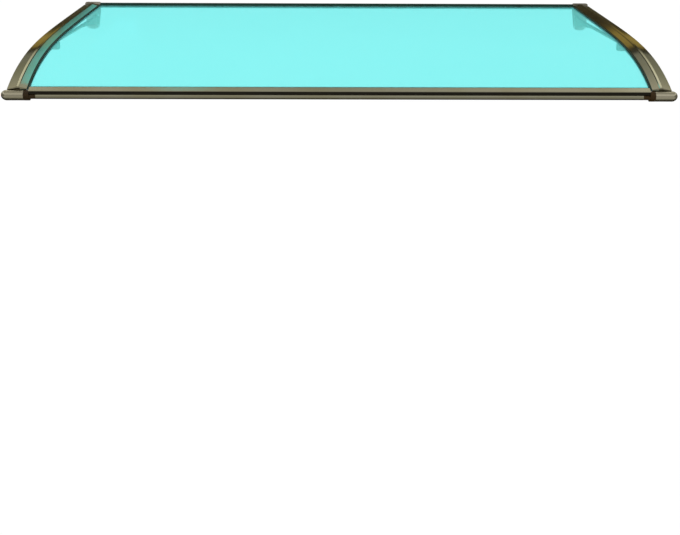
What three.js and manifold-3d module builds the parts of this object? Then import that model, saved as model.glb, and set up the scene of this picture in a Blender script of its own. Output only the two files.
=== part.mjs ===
// Curved door canopy: a tinted polycarbonate sheet, clamped along its sides between two bronze arms,
// in a front bar at its nose and in a wall rail at its back. Millimetres, +Z up.
// The wall is the plane Y = 0 and the canopy reaches out along -Y. The origin is the middle of the
// wall rail's back face, and X runs along the wall.
import * as THREE from "three";
import { mergeVertices } from "three/addons/utils/BufferGeometryUtils.js";
import Module from "manifold-3d";

// Overall sizes
const canopyWidth = 1500; // over the outer faces of the two arms
const projection = 800; // from the wall to the middle of the front bar
const straightFall = 81; // drop of the sheet over the projection, before it curls
const curlDrop = 58; // further drop at the nose, where the sheet curls over
const curlPower = 6; // how late the curl comes
const sheetTopAtWall = 1.25; // height of the sheet's top face at the wall

// Clearances and shared thicknesses
const fitGap = 0.3; // between pieces that seat on each other
const sheetThickness = 3;
const gasketThickness = 1.2;
const sheetExpansion = 2.8; // room beside the sheet for it to grow when warm

// Arms
const armWidth = 50;
const gasketLip = 5; // width of gasket that shows beside the cover
const gasketBead = 1; // how far its lip stands up
const gasketInset = 1.5; // how far the gaskets run past the edge of the sheet
const coverWall = 2;
const coverInnerRise = 1.3; // thickness of the cover's inner foot
const coverRidgeRise = 3.9; // height of the cover's ridge above its foot
const ridgeWidth = 6;
const ridgeBead = 1; // how far the ridge's bead stands up
const coverCorner = 2.2; // rounding of the cover's outer edge
const roofCornerDrop = 0.8; // how far the roof's edge drops before the corner
const ribWidth = 8.4; // screw rib under the ridge
const baseWall = 2;
const baseDepth = 5.2;
const baseFlange = 1.6; // thickness of the thin flange along the base's inner side
const baseInset = 2; // from the gasket's inner edge to the base's flange
const endRibLength = 6; // of the rib that closes the hollow at the base's front end
const endRibSetback = 7; // of that rib from the end
const channelInset = 11; // and to the base's channel
const armSteps = 24;

// Wall bracket
const plateThickness = 8;
const plateAboveSheet = 9;
const plateBelowSheet = 69;
const plateTopCorner = 6;
const plateInset = 3.5; // from the arm's outer face to the plate's outer edge
const plateBottomCorner = 14;
const anchorRadius = 2.6;
const anchorEdge = 5; // from the plate's sides to the middle of an anchor hole
const anchorUpper = 31; // from the sheet's top face down to the upper anchor holes
const anchorLower = 60;
const plateTaper = 9; // how far its inner edge draws in towards the bottom
const strutWidth = 10;
const strutInset = 13; // from the arm's inner face to the strut
const strutTop = 33.7; // from the sheet's top face down to the line of the strut's top, at the wall
const strutTopSteepness = 0.56; // of that line, as a share of the sheet's own at the wall
const strutUnder = 40.1; // and the same for its underside
const strutUnderSteepness = 0.499;
const strutUpperReach = 0.2; // reach of the flare above the strut's root, as a share of the projection
const strutLowerReach = 0.25; // and below it
const strutFlareBend = 0.06; // where both flares bend most, as a share of the projection
const strutFlareDrop = 11; // how far the lower flare's bend lies below the line of the underside
const strutRootTop = 29; // from the sheet's top face down to the top of the root
const strutRootBottom = 60;
const strutEndDepth = 2; // extra depth where it runs into the foot
const strutChamfer = 1.2;
const footShare = 0.625; // distance of the foot's middle from the wall, as a share of the projection
const footLength = 26;
const footWidth = 41;
const footDepth = 16; // below the arm's base
const footCorner = 5;
const boreRadius = 5.5; // counterbore for the foot's screw
const boreFloor = 5; // material left above the counterbore
const boreSides = 16;
const spigotLength = 36;
const tongueLength = 34; // of the nose's spigot in the front bar
const socketGap = 0.8; // room beside a spigot in the arm's channel

// Wall rail
const railDepth = 18;
const railLip = 1.5; // thickness of its lower lip
const railSlotEnd = 5.5;
const lipThickness = 2;
const sealDepth = 19.5; // the seal lies on the rail's upper lip, from the wall past its front
const sealAboveSheet = 6.4;
const sealFall = 0.8; // how far its top falls towards the front
const sealDrip = 2.1; // how far its front edge hangs down before the rail's upper lip

// Front bar
const barBack = 14; // from the station at the projection back to the bar's rear face
const barFront = 11.5; // and forward to its front face
const barBelow = 20.7; // from the sheet's top face at the station down to the bar's underside
const stripBelow = 3; // and down to the bottom of its top strip
const grooveDepth = 3;
const beadRadius = 5.7;
const slotReach = 6; // depth of the slot past the station
const slotMouth = 4.5; // its upper lip, back from the station
const flangeReach = 16; // its lower lip, back from the station
const barGasketLip = 3.2; // width of gasket that shows behind the upper lip
const barCorner = 2;
const barWall = 2.2;
const collarLength = 27;
const collarCorner = 4;

// Noses
const noseRadius = 11.7;
const noseBelow = 13; // from the sheet's top face at the station down to the nose's middle
const noseAhead = 1; // of the station
const noseOverhang = 14; // past the outer face of the arm
const noseSeam = 1.1; // the shadow gap between the arm and the nose
const noseInset = 12; // from the arm's inner edge to the nose
const domeLength = 13;
const noseSides = 24;

// Screws
const screwRadius = 1.7;
const screwHeadRadius = 4;
const screwHeadHeight = 2.4;
const screwSides = 10;
const flatHeadRadius = 3.5; // countersunk screws under the bar
const flatHeadHeight = 1.8;
const screwReach = 1.2; // height of the screws' tips above the sheet's top face
const firstScrew = 26; // distance of the first screw from the wall
const lastScrew = 25; // and of the last one back from the projection
const screwShares = [0.2, 0.4, footShare, 0.8]; // the others, as shares of the projection

const footStation = footShare * projection;
const screwStations = [
  firstScrew,
  ...screwShares.map((share) => share * projection),
  projection - lastScrew,
];

// Levels across the thickness of an arm, measured at right angles to the sheet from its top face
const upperGasketBottom = fitGap;
const upperGasketTop = upperGasketBottom + gasketThickness;
const coverFoot = upperGasketTop + fitGap;
const lowerGasketTop = -sheetThickness - fitGap;
const lowerGasketBottom = lowerGasketTop - gasketThickness;
const baseTop = lowerGasketBottom - fitGap;
const baseBottom = baseTop - baseDepth;
const channelTop = baseTop - baseWall;
const spigotTop = channelTop - fitGap;
const spigotBottom = baseBottom;

// Places across the width, on the right-hand side
const outerFace = canopyWidth / 2;
const innerFace = outerFace - armWidth;
const armMiddle = (outerFace + innerFace) / 2;
const coverInner = innerFace + gasketLip;
const baseInner = innerFace + baseInset;
const skirtInner = outerFace - coverWall;
const baseOuter = skirtInner - fitGap;
const sheetEdge = armMiddle - ribWidth / 2 - sheetExpansion;
const gasketEdge = sheetEdge + gasketInset;
const barEnd = innerFace - fitGap;
const noseStart = innerFace + noseInset;
const noseEnd = outerFace + noseOverhang;
const channelInner = innerFace + channelInset;
const spigotInner = channelInner + baseWall + socketGap;
const spigotOuter = baseOuter - baseWall - socketGap;

// The canopy line is the sheet's top face seen from the side: how far it lies below its height at
// the wall, and how steeply it falls, at a distance out from the wall.
const fallAt = (out) =>
  (straightFall * out) / projection + curlDrop * (out / projection) ** curlPower;
const slopeAt = (out) =>
  (straightFall + curlDrop * curlPower * (out / projection) ** (curlPower - 1)) / projection;
const heightAt = (out) => sheetTopAtWall - fallAt(out);

// A stretch of the canopy line. Its steps are shorter towards the nose, where it curls.
class CanopyLine extends THREE.Curve {
  constructor(from, to) {
    super();
    this.from = from;
    this.to = to;
  }
  outAt(t) {
    return Math.sqrt(THREE.MathUtils.lerp(this.from ** 2, this.to ** 2, t));
  }
  getPoint(t) {
    const out = this.outAt(t);
    return new THREE.Vector3(0, -out, heightAt(out));
  }
  getTangent(t) {
    return new THREE.Vector3(0, -1, -slopeAt(this.outAt(t))).normalize();
  }
  getUtoTmapping(u) {
    return u;
  }
}

// A point in the side view, as distance out from the wall and height. It lies along the sheet and
// above it, in the straight frame that touches the canopy line at a station.
function sidePoint(station, along, above) {
  const angle = Math.atan(slopeAt(station));
  return new THREE.Vector2(
    station + along * Math.cos(angle) + above * Math.sin(angle),
    heightAt(station) - along * Math.sin(angle) + above * Math.cos(angle),
  );
}

// Where the straight line at one level of that frame passes a given distance out from the wall.
function heightOnLevel(station, above, out) {
  const start = sidePoint(station, 0, above);
  return start.y - (out - start.x) * slopeAt(station);
}

// Solids: extrusions, joins and cuts
const wasm = await Module();
wasm.setup();

function toSolid(geometry) {
  const bare = new THREE.BufferGeometry();
  bare.setAttribute("position", geometry.getAttribute("position").clone());
  if (geometry.index) bare.setIndex(geometry.index);
  const merged = mergeVertices(bare, 1e-4);
  return new wasm.Manifold(
    new wasm.Mesh({
      numProp: 3,
      vertProperties: new Float32Array(merged.getAttribute("position").array),
      triVerts: new Uint32Array(merged.index.array),
    }),
  );
}

function toGeometry(solid) {
  const mesh = solid.getMesh();
  const geometry = new THREE.BufferGeometry();
  geometry.setAttribute("position", new THREE.BufferAttribute(mesh.vertProperties, 3));
  geometry.setIndex(new THREE.BufferAttribute(mesh.triVerts, 1));
  const flat = geometry.toNonIndexed();
  flat.computeVertexNormals();
  return flat;
}

const join = (...geometries) =>
  toGeometry(geometries.map(toSolid).reduce((whole, next) => whole.add(next)));

const cut = (geometry, ...tools) =>
  toGeometry(tools.map(toSolid).reduce((whole, tool) => whole.subtract(tool), toSolid(geometry)));

function shapeOf(points) {
  const shape = new THREE.Shape();
  shape.setFromPoints(points.map(([x, y]) => new THREE.Vector2(x, y)));
  return shape;
}

// Sweeps a section along the canopy line. The section's points are [place across, level].
function sweep(section, from, to) {
  const shape = shapeOf(section.map(([across, level]) => [-across, -level]));
  return new THREE.ExtrudeGeometry(shape, {
    steps: Math.max(2, Math.ceil((armSteps * (to ** 2 - from ** 2)) / projection ** 2)),
    extrudePath: new CanopyLine(from, to),
  });
}

// Extrudes a side-view shape across the width, from one place to another.
function extrudeAcross(shape, from, to, bevel = 0) {
  const geometry = new THREE.ExtrudeGeometry(shape, {
    depth: to - from - 2 * bevel,
    curveSegments: 5,
    bevelEnabled: bevel > 0,
    bevelSize: bevel,
    bevelThickness: bevel,
    bevelOffset: -bevel,
    bevelSegments: 1,
  });
  geometry.applyMatrix4(new THREE.Matrix4().makeBasis(
    new THREE.Vector3(0, -1, 0),
    new THREE.Vector3(0, 0, 1),
    new THREE.Vector3(-1, 0, 0),
  ));
  return geometry.translate(to - bevel, 0, 0);
}

// A box between two places across, two distances out from the wall and two heights.
function block(across, out, height) {
  const sizes = [across, out, height].map(([low, high]) => high - low);
  const middles = [across, out, height].map(([low, high]) => (low + high) / 2);
  return new THREE.BoxGeometry(...sizes).translate(middles[0], -middles[1], middles[2]);
}

// A round tool or boss that stands on the canopy line at a station, from one level to another.
function standingCylinder(across, station, from, to, radius, sides) {
  const foot = sidePoint(station, 0, (from + to) / 2);
  return new THREE.CylinderGeometry(radius, radius, to - from, sides)
    .rotateX(Math.PI / 2 + Math.atan(slopeAt(station)))
    .translate(across, -foot.x, foot.y);
}

function uprightCylinder(across, out, from, to, radius) {
  return new THREE.CylinderGeometry(radius, radius, to - from, screwSides)
    .rotateX(Math.PI / 2)
    .translate(across, -out, (from + to) / 2);
}

const holeRadius = (screwRadius + fitGap) / Math.cos(Math.PI / screwSides);

// Sheet
const sheetBack = plateThickness + 1;
const sheetFront = projection + slotReach - 1.6;
const sheetCorner = projection - 4.5; // where the sheet stops beside the bar's ends

const cornerNotch = (from, to) =>
  block(
    [from, to],
    [sheetCorner, projection + 20],
    [heightAt(projection) - 20, heightAt(projection) + 20],
  );

const sheetGeometry = cut(
  sweep(
    [
      [-sheetEdge, -sheetThickness],
      [sheetEdge, -sheetThickness],
      [sheetEdge, 0],
      [-sheetEdge, 0],
    ],
    sheetBack,
    sheetFront,
  ),
  cornerNotch(barEnd - fitGap, outerFace),
  cornerNotch(-outerFace, fitGap - barEnd),
);

// Arms: where they start behind the plate's face, and where they meet the nose
const armStart = plateThickness + fitGap - baseBottom * slopeAt(0);
const baseFront = projection - 8;
const coverFront = projection + 3;
const gasketFront = projection + 2;
const lowerGasketFront = projection - 10;

// A round bar along the nose's middle line, from one place across to another
function noseCylinder(from, to, radius) {
  return new THREE.CylinderGeometry(radius, radius, to - from, noseSides)
    .rotateY(Math.PI / noseSides)
    .rotateZ(Math.PI / 2)
    .translate((from + to) / 2, -projection - noseAhead, heightAt(projection) - noseBelow);
}

const noseSweptSpace = () =>
  noseCylinder(
    innerFace - fitGap,
    noseEnd + fitGap,
    (noseRadius + noseSeam) / Math.cos(Math.PI / noseSides),
  );

// The cover: a roof of two facets with a beaded ridge, a screw rib under it and an outer skirt
function coverSection() {
  const ridge = ridgeWidth / 2;
  const top = coverFoot + coverInnerRise;
  const ridgeTop = coverFoot + coverRidgeRise;
  const rib = ribWidth / 2;
  const groove = screwRadius + fitGap;
  const ribBottom = baseTop + fitGap;
  const roofUnder = ridgeTop - coverWall;
  return [
    [coverInner, coverFoot],
    [coverInner, top],
    [armMiddle - ridge - ridgeBead, ridgeTop],
    [armMiddle - ridge, ridgeTop + ridgeBead],
    [armMiddle + ridge, ridgeTop + ridgeBead],
    [armMiddle + ridge + ridgeBead, ridgeTop],
    [outerFace - coverCorner, coverFoot],
    [outerFace - coverCorner * 0.3, coverFoot - roofCornerDrop],
    [outerFace, coverFoot - coverCorner],
    [outerFace, baseBottom],
    [skirtInner, baseBottom],
    [skirtInner, coverFoot - coverCorner],
    [outerFace - coverCorner - roofCornerDrop, coverFoot - coverWall],
    [armMiddle + rib, roofUnder],
    [armMiddle + rib, ribBottom],
    [armMiddle + groove, ribBottom],
    [armMiddle + groove, roofUnder],
    [armMiddle - groove, roofUnder],
    [armMiddle - groove, ribBottom],
    [armMiddle - rib, ribBottom],
    [armMiddle - rib, roofUnder],
    [gasketEdge, coverFoot],
  ];
}

const coverGeometry = cut(
  sweep(coverSection(), armStart, coverFront),
  noseSweptSpace(),
  block(
    [coverInner - 1, outerFace + 1],
    [projection + 2, projection + 40],
    [heightAt(projection) - 60, heightAt(projection) + 60],
  ),
);

// The base: a shallow channel, open below, with a thin flange along its inner side and a hole in
// its top for each screw
const baseSection = [
  [baseInner, baseTop],
  [baseInner, baseTop - baseFlange],
  [channelInner, baseTop - baseFlange],
  [channelInner, baseBottom],
  [channelInner + baseWall, baseBottom],
  [channelInner + baseWall, channelTop],
  [baseOuter - baseWall, channelTop],
  [baseOuter - baseWall, baseBottom],
  [baseOuter, baseBottom],
  [baseOuter, baseTop],
];

const armScrewHole = (station, from) =>
  standingCylinder(armMiddle, station, from, screwReach + 1, holeRadius, screwSides);

// A rib across the base's front end, which closes the hollow under the roof's outer half
function endRibGeometry() {
  const inner = armMiddle + ribWidth / 2 + fitGap;
  const foot = baseTop - baseWall / 2;
  const section = [
    [inner, foot],
    [baseOuter, foot],
    [baseOuter, coverFoot - coverCorner - fitGap],
    [baseOuter - fitGap - roofCornerDrop, coverFoot - coverWall - fitGap],
    [inner, coverFoot + coverRidgeRise - coverWall - 2 * fitGap],
  ];
  return sweep(section, baseFront - endRibSetback - endRibLength, baseFront - endRibSetback);
}

const baseGeometry = cut(
  join(sweep(baseSection, armStart, baseFront), endRibGeometry()),
  noseSweptSpace(),
  ...screwStations.map((station) => armScrewHole(station, baseBottom)),
);

// Gaskets along the arms: the upper one shows as a dark lip beside the cover
const upperGasketGeometry = sweep(
  [
    [innerFace, upperGasketBottom],
    [gasketEdge, upperGasketBottom],
    [gasketEdge, upperGasketTop],
    [coverInner - fitGap, upperGasketTop],
    [coverInner - 2 * fitGap, upperGasketTop + gasketBead],
    [innerFace + gasketBead, upperGasketTop + gasketBead],
    [innerFace, upperGasketTop],
  ],
  armStart,
  gasketFront,
);

const lowerGasketGeometry = sweep(
  [
    [baseInner + fitGap, lowerGasketBottom],
    [gasketEdge, lowerGasketBottom],
    [gasketEdge, lowerGasketTop],
    [baseInner + fitGap, lowerGasketTop],
  ],
  armStart,
  lowerGasketFront,
);

// The wall bracket is one casting: plate, strut, foot, and the spigot for the arm
const plateTop = sheetTopAtWall + plateAboveSheet;
const plateBottom = sheetTopAtWall - plateBelowSheet;
const plateOuter = outerFace - plateInset;
const plateInner = innerFace;

function plateGeometry() {
  const lowerInner = plateInner + plateTaper;
  const shape = new THREE.Shape();
  shape.moveTo(lowerInner + plateBottomCorner, plateBottom);
  shape.lineTo(plateOuter - plateBottomCorner, plateBottom);
  shape.absarc(plateOuter - plateBottomCorner, plateBottom + plateBottomCorner, plateBottomCorner,
    -Math.PI / 2, 0);
  shape.absarc(plateOuter - plateTopCorner, plateTop - plateTopCorner, plateTopCorner, 0, Math.PI / 2);
  shape.absarc(plateInner + plateTopCorner, plateTop - plateTopCorner, plateTopCorner,
    Math.PI / 2, Math.PI);
  shape.absarc(lowerInner + plateBottomCorner, plateBottom + plateBottomCorner, plateBottomCorner,
    Math.PI, Math.PI * 1.5);
  for (const below of [anchorUpper, anchorLower]) {
    const inner = plateInner + (plateTaper * (below + plateAboveSheet)) / (plateBelowSheet + plateAboveSheet);
    for (const across of [inner + anchorEdge, plateOuter - anchorEdge]) {
      const hole = new THREE.Path();
      hole.absarc(across, sheetTopAtWall - below, anchorRadius, 0, Math.PI * 2, true);
      shape.holes.push(hole);
    }
  }
  return new THREE.ExtrudeGeometry(shape, {
    depth: plateThickness,
    curveSegments: 5,
    bevelEnabled: false,
  }).rotateX(Math.PI / 2);
}

// The strut's side view: flared at its root, then nearly straight, down into the foot
function strutGeometry() {
  const inPlate = plateThickness / 2;
  const topSlope = strutTopSteepness * slopeAt(0);
  const underSlope = strutUnderSteepness * slopeAt(0);
  const top = (out) => sheetTopAtWall - strutTop - topSlope * out;
  const under = (out) => sheetTopAtWall - strutUnder - underSlope * out;
  const upperFlare = strutUpperReach * projection;
  const lowerFlare = strutLowerReach * projection;
  const bend = strutFlareBend * projection;
  const rootTop = sheetTopAtWall - strutRootTop;
  const rootBottom = sheetTopAtWall - strutRootBottom;
  const end = footStation - footLength / 4;
  const shape = new THREE.Shape();
  shape.moveTo(inPlate, rootBottom);
  shape.lineTo(plateThickness, rootBottom);
  shape.quadraticCurveTo(bend, under(0) - strutFlareDrop, lowerFlare, under(lowerFlare));
  shape.lineTo(end, under(end) - strutEndDepth);
  shape.lineTo(end, top(end));
  shape.lineTo(upperFlare, top(upperFlare));
  shape.quadraticCurveTo(bend, top(bend), plateThickness, rootTop);
  shape.lineTo(inPlate, rootTop);
  const inner = innerFace + strutInset;
  return extrudeAcross(shape, inner, inner + strutWidth, strutChamfer);
}

// The foot: a rounded pad across the arm's underside
function footGeometry() {
  const back = footStation - footLength / 2;
  const front = footStation + footLength / 2;
  const seat = (out) => heightOnLevel(footStation, baseBottom - fitGap, out);
  const bottom = seat(footStation) - footDepth;
  const shape = new THREE.Shape();
  shape.moveTo(back, seat(back));
  shape.lineTo(back, bottom + footCorner);
  shape.absarc(back + footCorner, bottom + footCorner, footCorner, Math.PI, Math.PI * 1.5);
  shape.lineTo(front - footCorner, bottom);
  shape.absarc(front - footCorner, bottom + footCorner, footCorner, -Math.PI / 2, 0);
  shape.lineTo(front, seat(front));
  return extrudeAcross(shape, armMiddle - footWidth / 2, armMiddle + footWidth / 2, strutChamfer);
}

const spigotSection = (inner) => [
  [inner, spigotBottom],
  [spigotOuter, spigotBottom],
  [spigotOuter, spigotTop],
  [inner, spigotTop],
];

function bracketGeometry() {
  const belowFoot = baseBottom - footDepth - footCorner;
  const boreTop = baseBottom - boreFloor;
  return cut(
    join(
      plateGeometry(),
      strutGeometry(),
      sweep(spigotSection(spigotInner), plateThickness / 2, plateThickness + spigotLength),
      footGeometry(),
    ),
    armScrewHole(screwStations[0], baseBottom - 1),
    armScrewHole(footStation, belowFoot),
    standingCylinder(armMiddle, footStation, belowFoot, boreTop, boreRadius, boreSides),
  );
}

// Wall rail: a slim channel round the sheet's back edge, with a seal against the wall on its upper lip
const slotTop = coverFoot;
const slotBottom = baseTop;
const lipTop = slotTop + lipThickness;
const sealTop = sheetTopAtWall + sealAboveSheet;

function railGeometry() {
  const on = (out, level) => [out, heightOnLevel(0, level, out)];
  return extrudeAcross(
    shapeOf([
      on(0, slotBottom - railLip),
      on(railDepth, slotBottom - railLip),
      on(railDepth, slotBottom),
      on(railSlotEnd, slotBottom),
      on(railSlotEnd, slotTop),
      on(railDepth, slotTop),
      on(railDepth, lipTop),
      on(0, lipTop),
    ]),
    -barEnd,
    barEnd,
  );
}

function sealGeometry() {
  const seat = (out) => heightOnLevel(0, lipTop + fitGap, out);
  const beforeLip = railDepth + fitGap;
  const dripBottom = seat(beforeLip) - sealDrip;
  return extrudeAcross(
    shapeOf([
      [0, seat(0)],
      [beforeLip, seat(beforeLip)],
      [beforeLip, dripBottom],
      [sealDepth, dripBottom],
      [sealDepth, sealTop - sealFall],
      [0, sealTop],
    ]),
    -barEnd,
    barEnd,
  );
}

function slotGasket(station, back, front, bottom, top) {
  const corners = [[back, bottom], [front, bottom], [front, top], [back, top]];
  const shape = shapeOf(corners.map(([along, above]) => sidePoint(station, along, above).toArray()));
  return extrudeAcross(shape, -barEnd, barEnd);
}

const railGasket = (bottom, top) =>
  slotGasket(0, sheetBack + 1, railDepth, bottom, top);

// The front bar's upper gasket, whose lip shows behind the bar's own
function barUpperGasket() {
  const bottom = upperGasketBottom;
  const top = upperGasketTop;
  const back = -slotMouth - barGasketLip;
  const corners = [
    [back, bottom],
    [slotReach / 2, bottom],
    [slotReach / 2, top],
    [-slotMouth - fitGap, top],
    [-slotMouth - 2 * fitGap, top + gasketBead],
    [back + gasketBead, top + gasketBead],
    [back, top],
  ];
  const shape = shapeOf(corners.map(([along, above]) => sidePoint(projection, along, above).toArray()));
  return extrudeAcross(shape, -barEnd, barEnd);
}

// Front bar: a clamping lip over the sheet, a groove and a round bead below it, and a hollow
const barMiddle = sidePoint(projection, 0, 0);
const barBottom = barMiddle.y - barBelow;
const stripBottom = barMiddle.y - stripBelow;
const grooveFloor = projection + barFront - grooveDepth;
const beadMiddle = new THREE.Vector2(projection + barFront - beadRadius, barBottom + beadRadius);
const beadStart = Math.acos((grooveFloor - beadMiddle.x) / beadRadius);
const beadTop = beadMiddle.y + beadRadius * Math.sin(beadStart);
const hollowBottom = barBottom + barWall;
const hollowFront = projection + barFront - grooveDepth - barWall;
const notchTop = beadTop - fitGap / 2;
const collarStart = barEnd + noseInset + fitGap - collarLength;

function barGeometry() {
  const on = (along, level) => sidePoint(projection, along, level);
  const onLevel = (out, level) => heightOnLevel(projection, level, out);
  const wallLevel = slotBottom - barWall;
  const back = projection - barBack;
  const front = projection + barFront;
  const shape = new THREE.Shape();
  const go = (point) => shape.lineTo(point.x, point.y);
  const lipEnd = on(slotReach + barCorner, lipTop);
  shape.moveTo(...on(-slotMouth, lipTop).toArray());
  go(lipEnd);
  shape.quadraticCurveTo(front, onLevel(front, lipTop), front, stripBottom);
  shape.lineTo(grooveFloor, stripBottom);
  shape.lineTo(grooveFloor, beadTop);
  shape.absarc(beadMiddle.x, beadMiddle.y, beadRadius, beadStart, -Math.PI / 2, true);
  shape.lineTo(back + barCorner, barBottom);
  shape.absarc(back + barCorner, barBottom + barCorner, barCorner, -Math.PI / 2, -Math.PI, true);
  shape.lineTo(back, onLevel(back, wallLevel));
  go(on(-flangeReach, wallLevel));
  go(on(-flangeReach, slotBottom));
  go(on(slotReach, slotBottom));
  go(on(slotReach, slotTop));
  go(on(-slotMouth, slotTop));
  const elbow = hollowFront - 3;
  shape.holes.push(shapeOf([
    [back + barWall, hollowBottom],
    [hollowFront, hollowBottom],
    [hollowFront, onLevel(elbow, wallLevel) - 2.5],
    [elbow, onLevel(elbow, wallLevel)],
    [back + barWall, onLevel(back + barWall, wallLevel)],
  ]));
  const notch = (from, to) =>
    block([from, to], [back - 1, front + 1], [barBottom - 1, notchTop]);
  const sink = new THREE.CylinderGeometry(holeRadius, holeRadius + flatHeadRadius - screwRadius + 1,
    flatHeadHeight + 1, screwSides).rotateX(Math.PI / 2);
  const holes = [-barScrewAcross, barScrewAcross].flatMap((across) => [
    uprightCylinder(across, barScrewOut, barBottom - 1, barSpigotBottom, holeRadius),
    sink.clone().translate(across, -barScrewOut, barBottom + fitGap / 3 + (flatHeadHeight - 1) / 2),
  ]);
  return cut(
    extrudeAcross(shape, -barEnd, barEnd),
    notch(collarStart - fitGap, outerFace),
    notch(-outerFace, fitGap - collarStart),
    ...holes,
  );
}

// Nose: a domed round cap, with a spigot into the bar and a tongue into the arm
const barSpigotBottom = hollowBottom + fitGap;
const barSpigotTop = barSpigotBottom + 5.4;
const barSpigotBack = projection - barBack + barWall + 4;
const barSpigotFront = hollowFront - 2;
const barScrewOut = (barSpigotBack + barSpigotFront) / 2;
const barSpigotInner = collarStart - tongueLength + 8;
const barScrewAcross = barSpigotInner + 10;

function noseGeometry() {
  const profile = [new THREE.Vector2(0, noseStart), new THREE.Vector2(noseRadius, noseStart)];
  const domeSteps = 5;
  for (let i = 0; i <= domeSteps; i++) {
    const angle = (i / domeSteps) * (Math.PI / 2);
    const radius = i === domeSteps ? 0 : noseRadius * Math.cos(angle);
    profile.push(new THREE.Vector2(radius, noseEnd - domeLength * (1 - Math.sin(angle))));
  }
  const cap = new THREE.LatheGeometry(profile, noseSides)
    .rotateY(Math.PI / noseSides)
    .rotateZ(-Math.PI / 2)
    .translate(0, -projection - noseAhead, heightAt(projection) - noseBelow);
  const spigot = block(
    [barSpigotInner, noseStart + 2],
    [barSpigotBack, barSpigotFront],
    [barSpigotBottom, barSpigotTop],
  );
  const tongue = sweep(spigotSection(spigotInner), projection - spigotLength - 9, projection - 3);
  return cut(
    join(cap, spigot, tongue),
    armScrewHole(screwStations[5], baseBottom - 1),
    uprightCylinder(barScrewAcross, barScrewOut, barSpigotBottom - 1, barSpigotTop + 1, holeRadius),
  );
}

// Collar: a dark sleeve round the spigot, under the bar's end, with a ring as large as the nose
function collarGeometry() {
  const back = projection - barBack + fitGap;
  const front = projection + barFront - fitGap;
  const top = notchTop - 2 * fitGap;
  const bottom = barBottom + fitGap;
  const shape = new THREE.Shape();
  shape.moveTo(back, bottom);
  shape.lineTo(front - collarCorner, bottom);
  shape.absarc(front - collarCorner, bottom + collarCorner, collarCorner, -Math.PI / 2, 0);
  shape.absarc(front - collarCorner, top - collarCorner, collarCorner, 0, Math.PI / 2);
  shape.lineTo(back, top);
  shape.holes.push(shapeOf([
    [barSpigotBack - fitGap, barSpigotBottom - fitGap],
    [barSpigotFront + fitGap, barSpigotBottom - fitGap],
    [barSpigotFront + fitGap, barSpigotTop + fitGap],
    [barSpigotBack - fitGap, barSpigotTop + fitGap],
  ]));
  const ring = cut(
    noseCylinder(innerFace, noseStart - fitGap, noseRadius),
    block(
      [innerFace - 1, noseStart],
      [barSpigotBack - fitGap, barSpigotFront + fitGap],
      [barSpigotBottom - fitGap, barSpigotTop + fitGap],
    ),
  );
  return join(extrudeAcross(shape, collarStart, noseStart - fitGap - 1), ring);
}

// A countersunk screw with its tip up: its head's flat face is at height 0 of its own frame
function flatScrewGeometry(length) {
  const profile = [
    [0, 0],
    [flatHeadRadius, 0],
    [screwRadius, flatHeadHeight],
    [screwRadius, length - 1],
    [0, length],
  ].map(([radius, height]) => new THREE.Vector2(radius, height));
  return new THREE.LatheGeometry(profile, screwSides);
}

// A screw with its tip up: its head's underside is at height 0 of its own frame
function screwGeometry(length) {
  const profile = [
    [0, -screwHeadHeight],
    [screwHeadRadius - 1, -screwHeadHeight],
    [screwHeadRadius, -screwHeadHeight / 2],
    [screwHeadRadius, 0],
    [screwRadius, 0],
    [screwRadius, length - 1],
    [0, length],
  ].map(([radius, height]) => new THREE.Vector2(radius, height));
  return new THREE.LatheGeometry(profile, screwSides);
}

// Finishes
const finish = (color, roughness, metalness, opacity = 1) =>
  new THREE.MeshStandardMaterial({ color, roughness, metalness, opacity, transparent: opacity < 1 });
const bronze = finish(0x6f6450, 0.3, 0.85);
const darkBronze = finish(0x4a3820, 0.3, 0.8);
const tintedSheet = finish(0x4eeee9, 0.15, 0, 0.66);
const rubber = finish(0x12332e, 0.8, 0);
const collarPlastic = finish(0x3c2408, 0.35, 0.2);
const steel = finish(0xb4b4b0, 0.35, 0.9);

function piece(name, geometry, material) {
  const mesh = new THREE.Mesh(geometry, material);
  mesh.name = name;
  return mesh;
}

// An arm's screw, which comes up from below at a station with its head at a given level
function armScrew(name, station, headLevel) {
  const mesh = piece(name, screwGeometry(screwReach - headLevel), steel);
  const seat = sidePoint(station, 0, headLevel);
  mesh.position.set(armMiddle, -seat.x, seat.y);
  mesh.rotation.x = Math.PI / 2 + Math.atan(slopeAt(station));
  return mesh;
}

function uprightScrew(name, geometry, across, out, headHeight) {
  const mesh = piece(name, geometry, steel);
  mesh.position.set(across, -out, headHeight);
  mesh.rotation.x = Math.PI / 2;
  return mesh;
}

const seatLevels = {
  [screwStations[0]]: spigotBottom - fitGap,
  [footStation]: baseBottom - boreFloor - fitGap,
  [screwStations[5]]: spigotBottom - fitGap,
};

// One side of the canopy, built as the right-hand one and mirrored for the left
const sharedGeometry = {
  bracket: bracketGeometry(),
  nose: noseGeometry(),
  collar: collarGeometry(),
};

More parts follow.
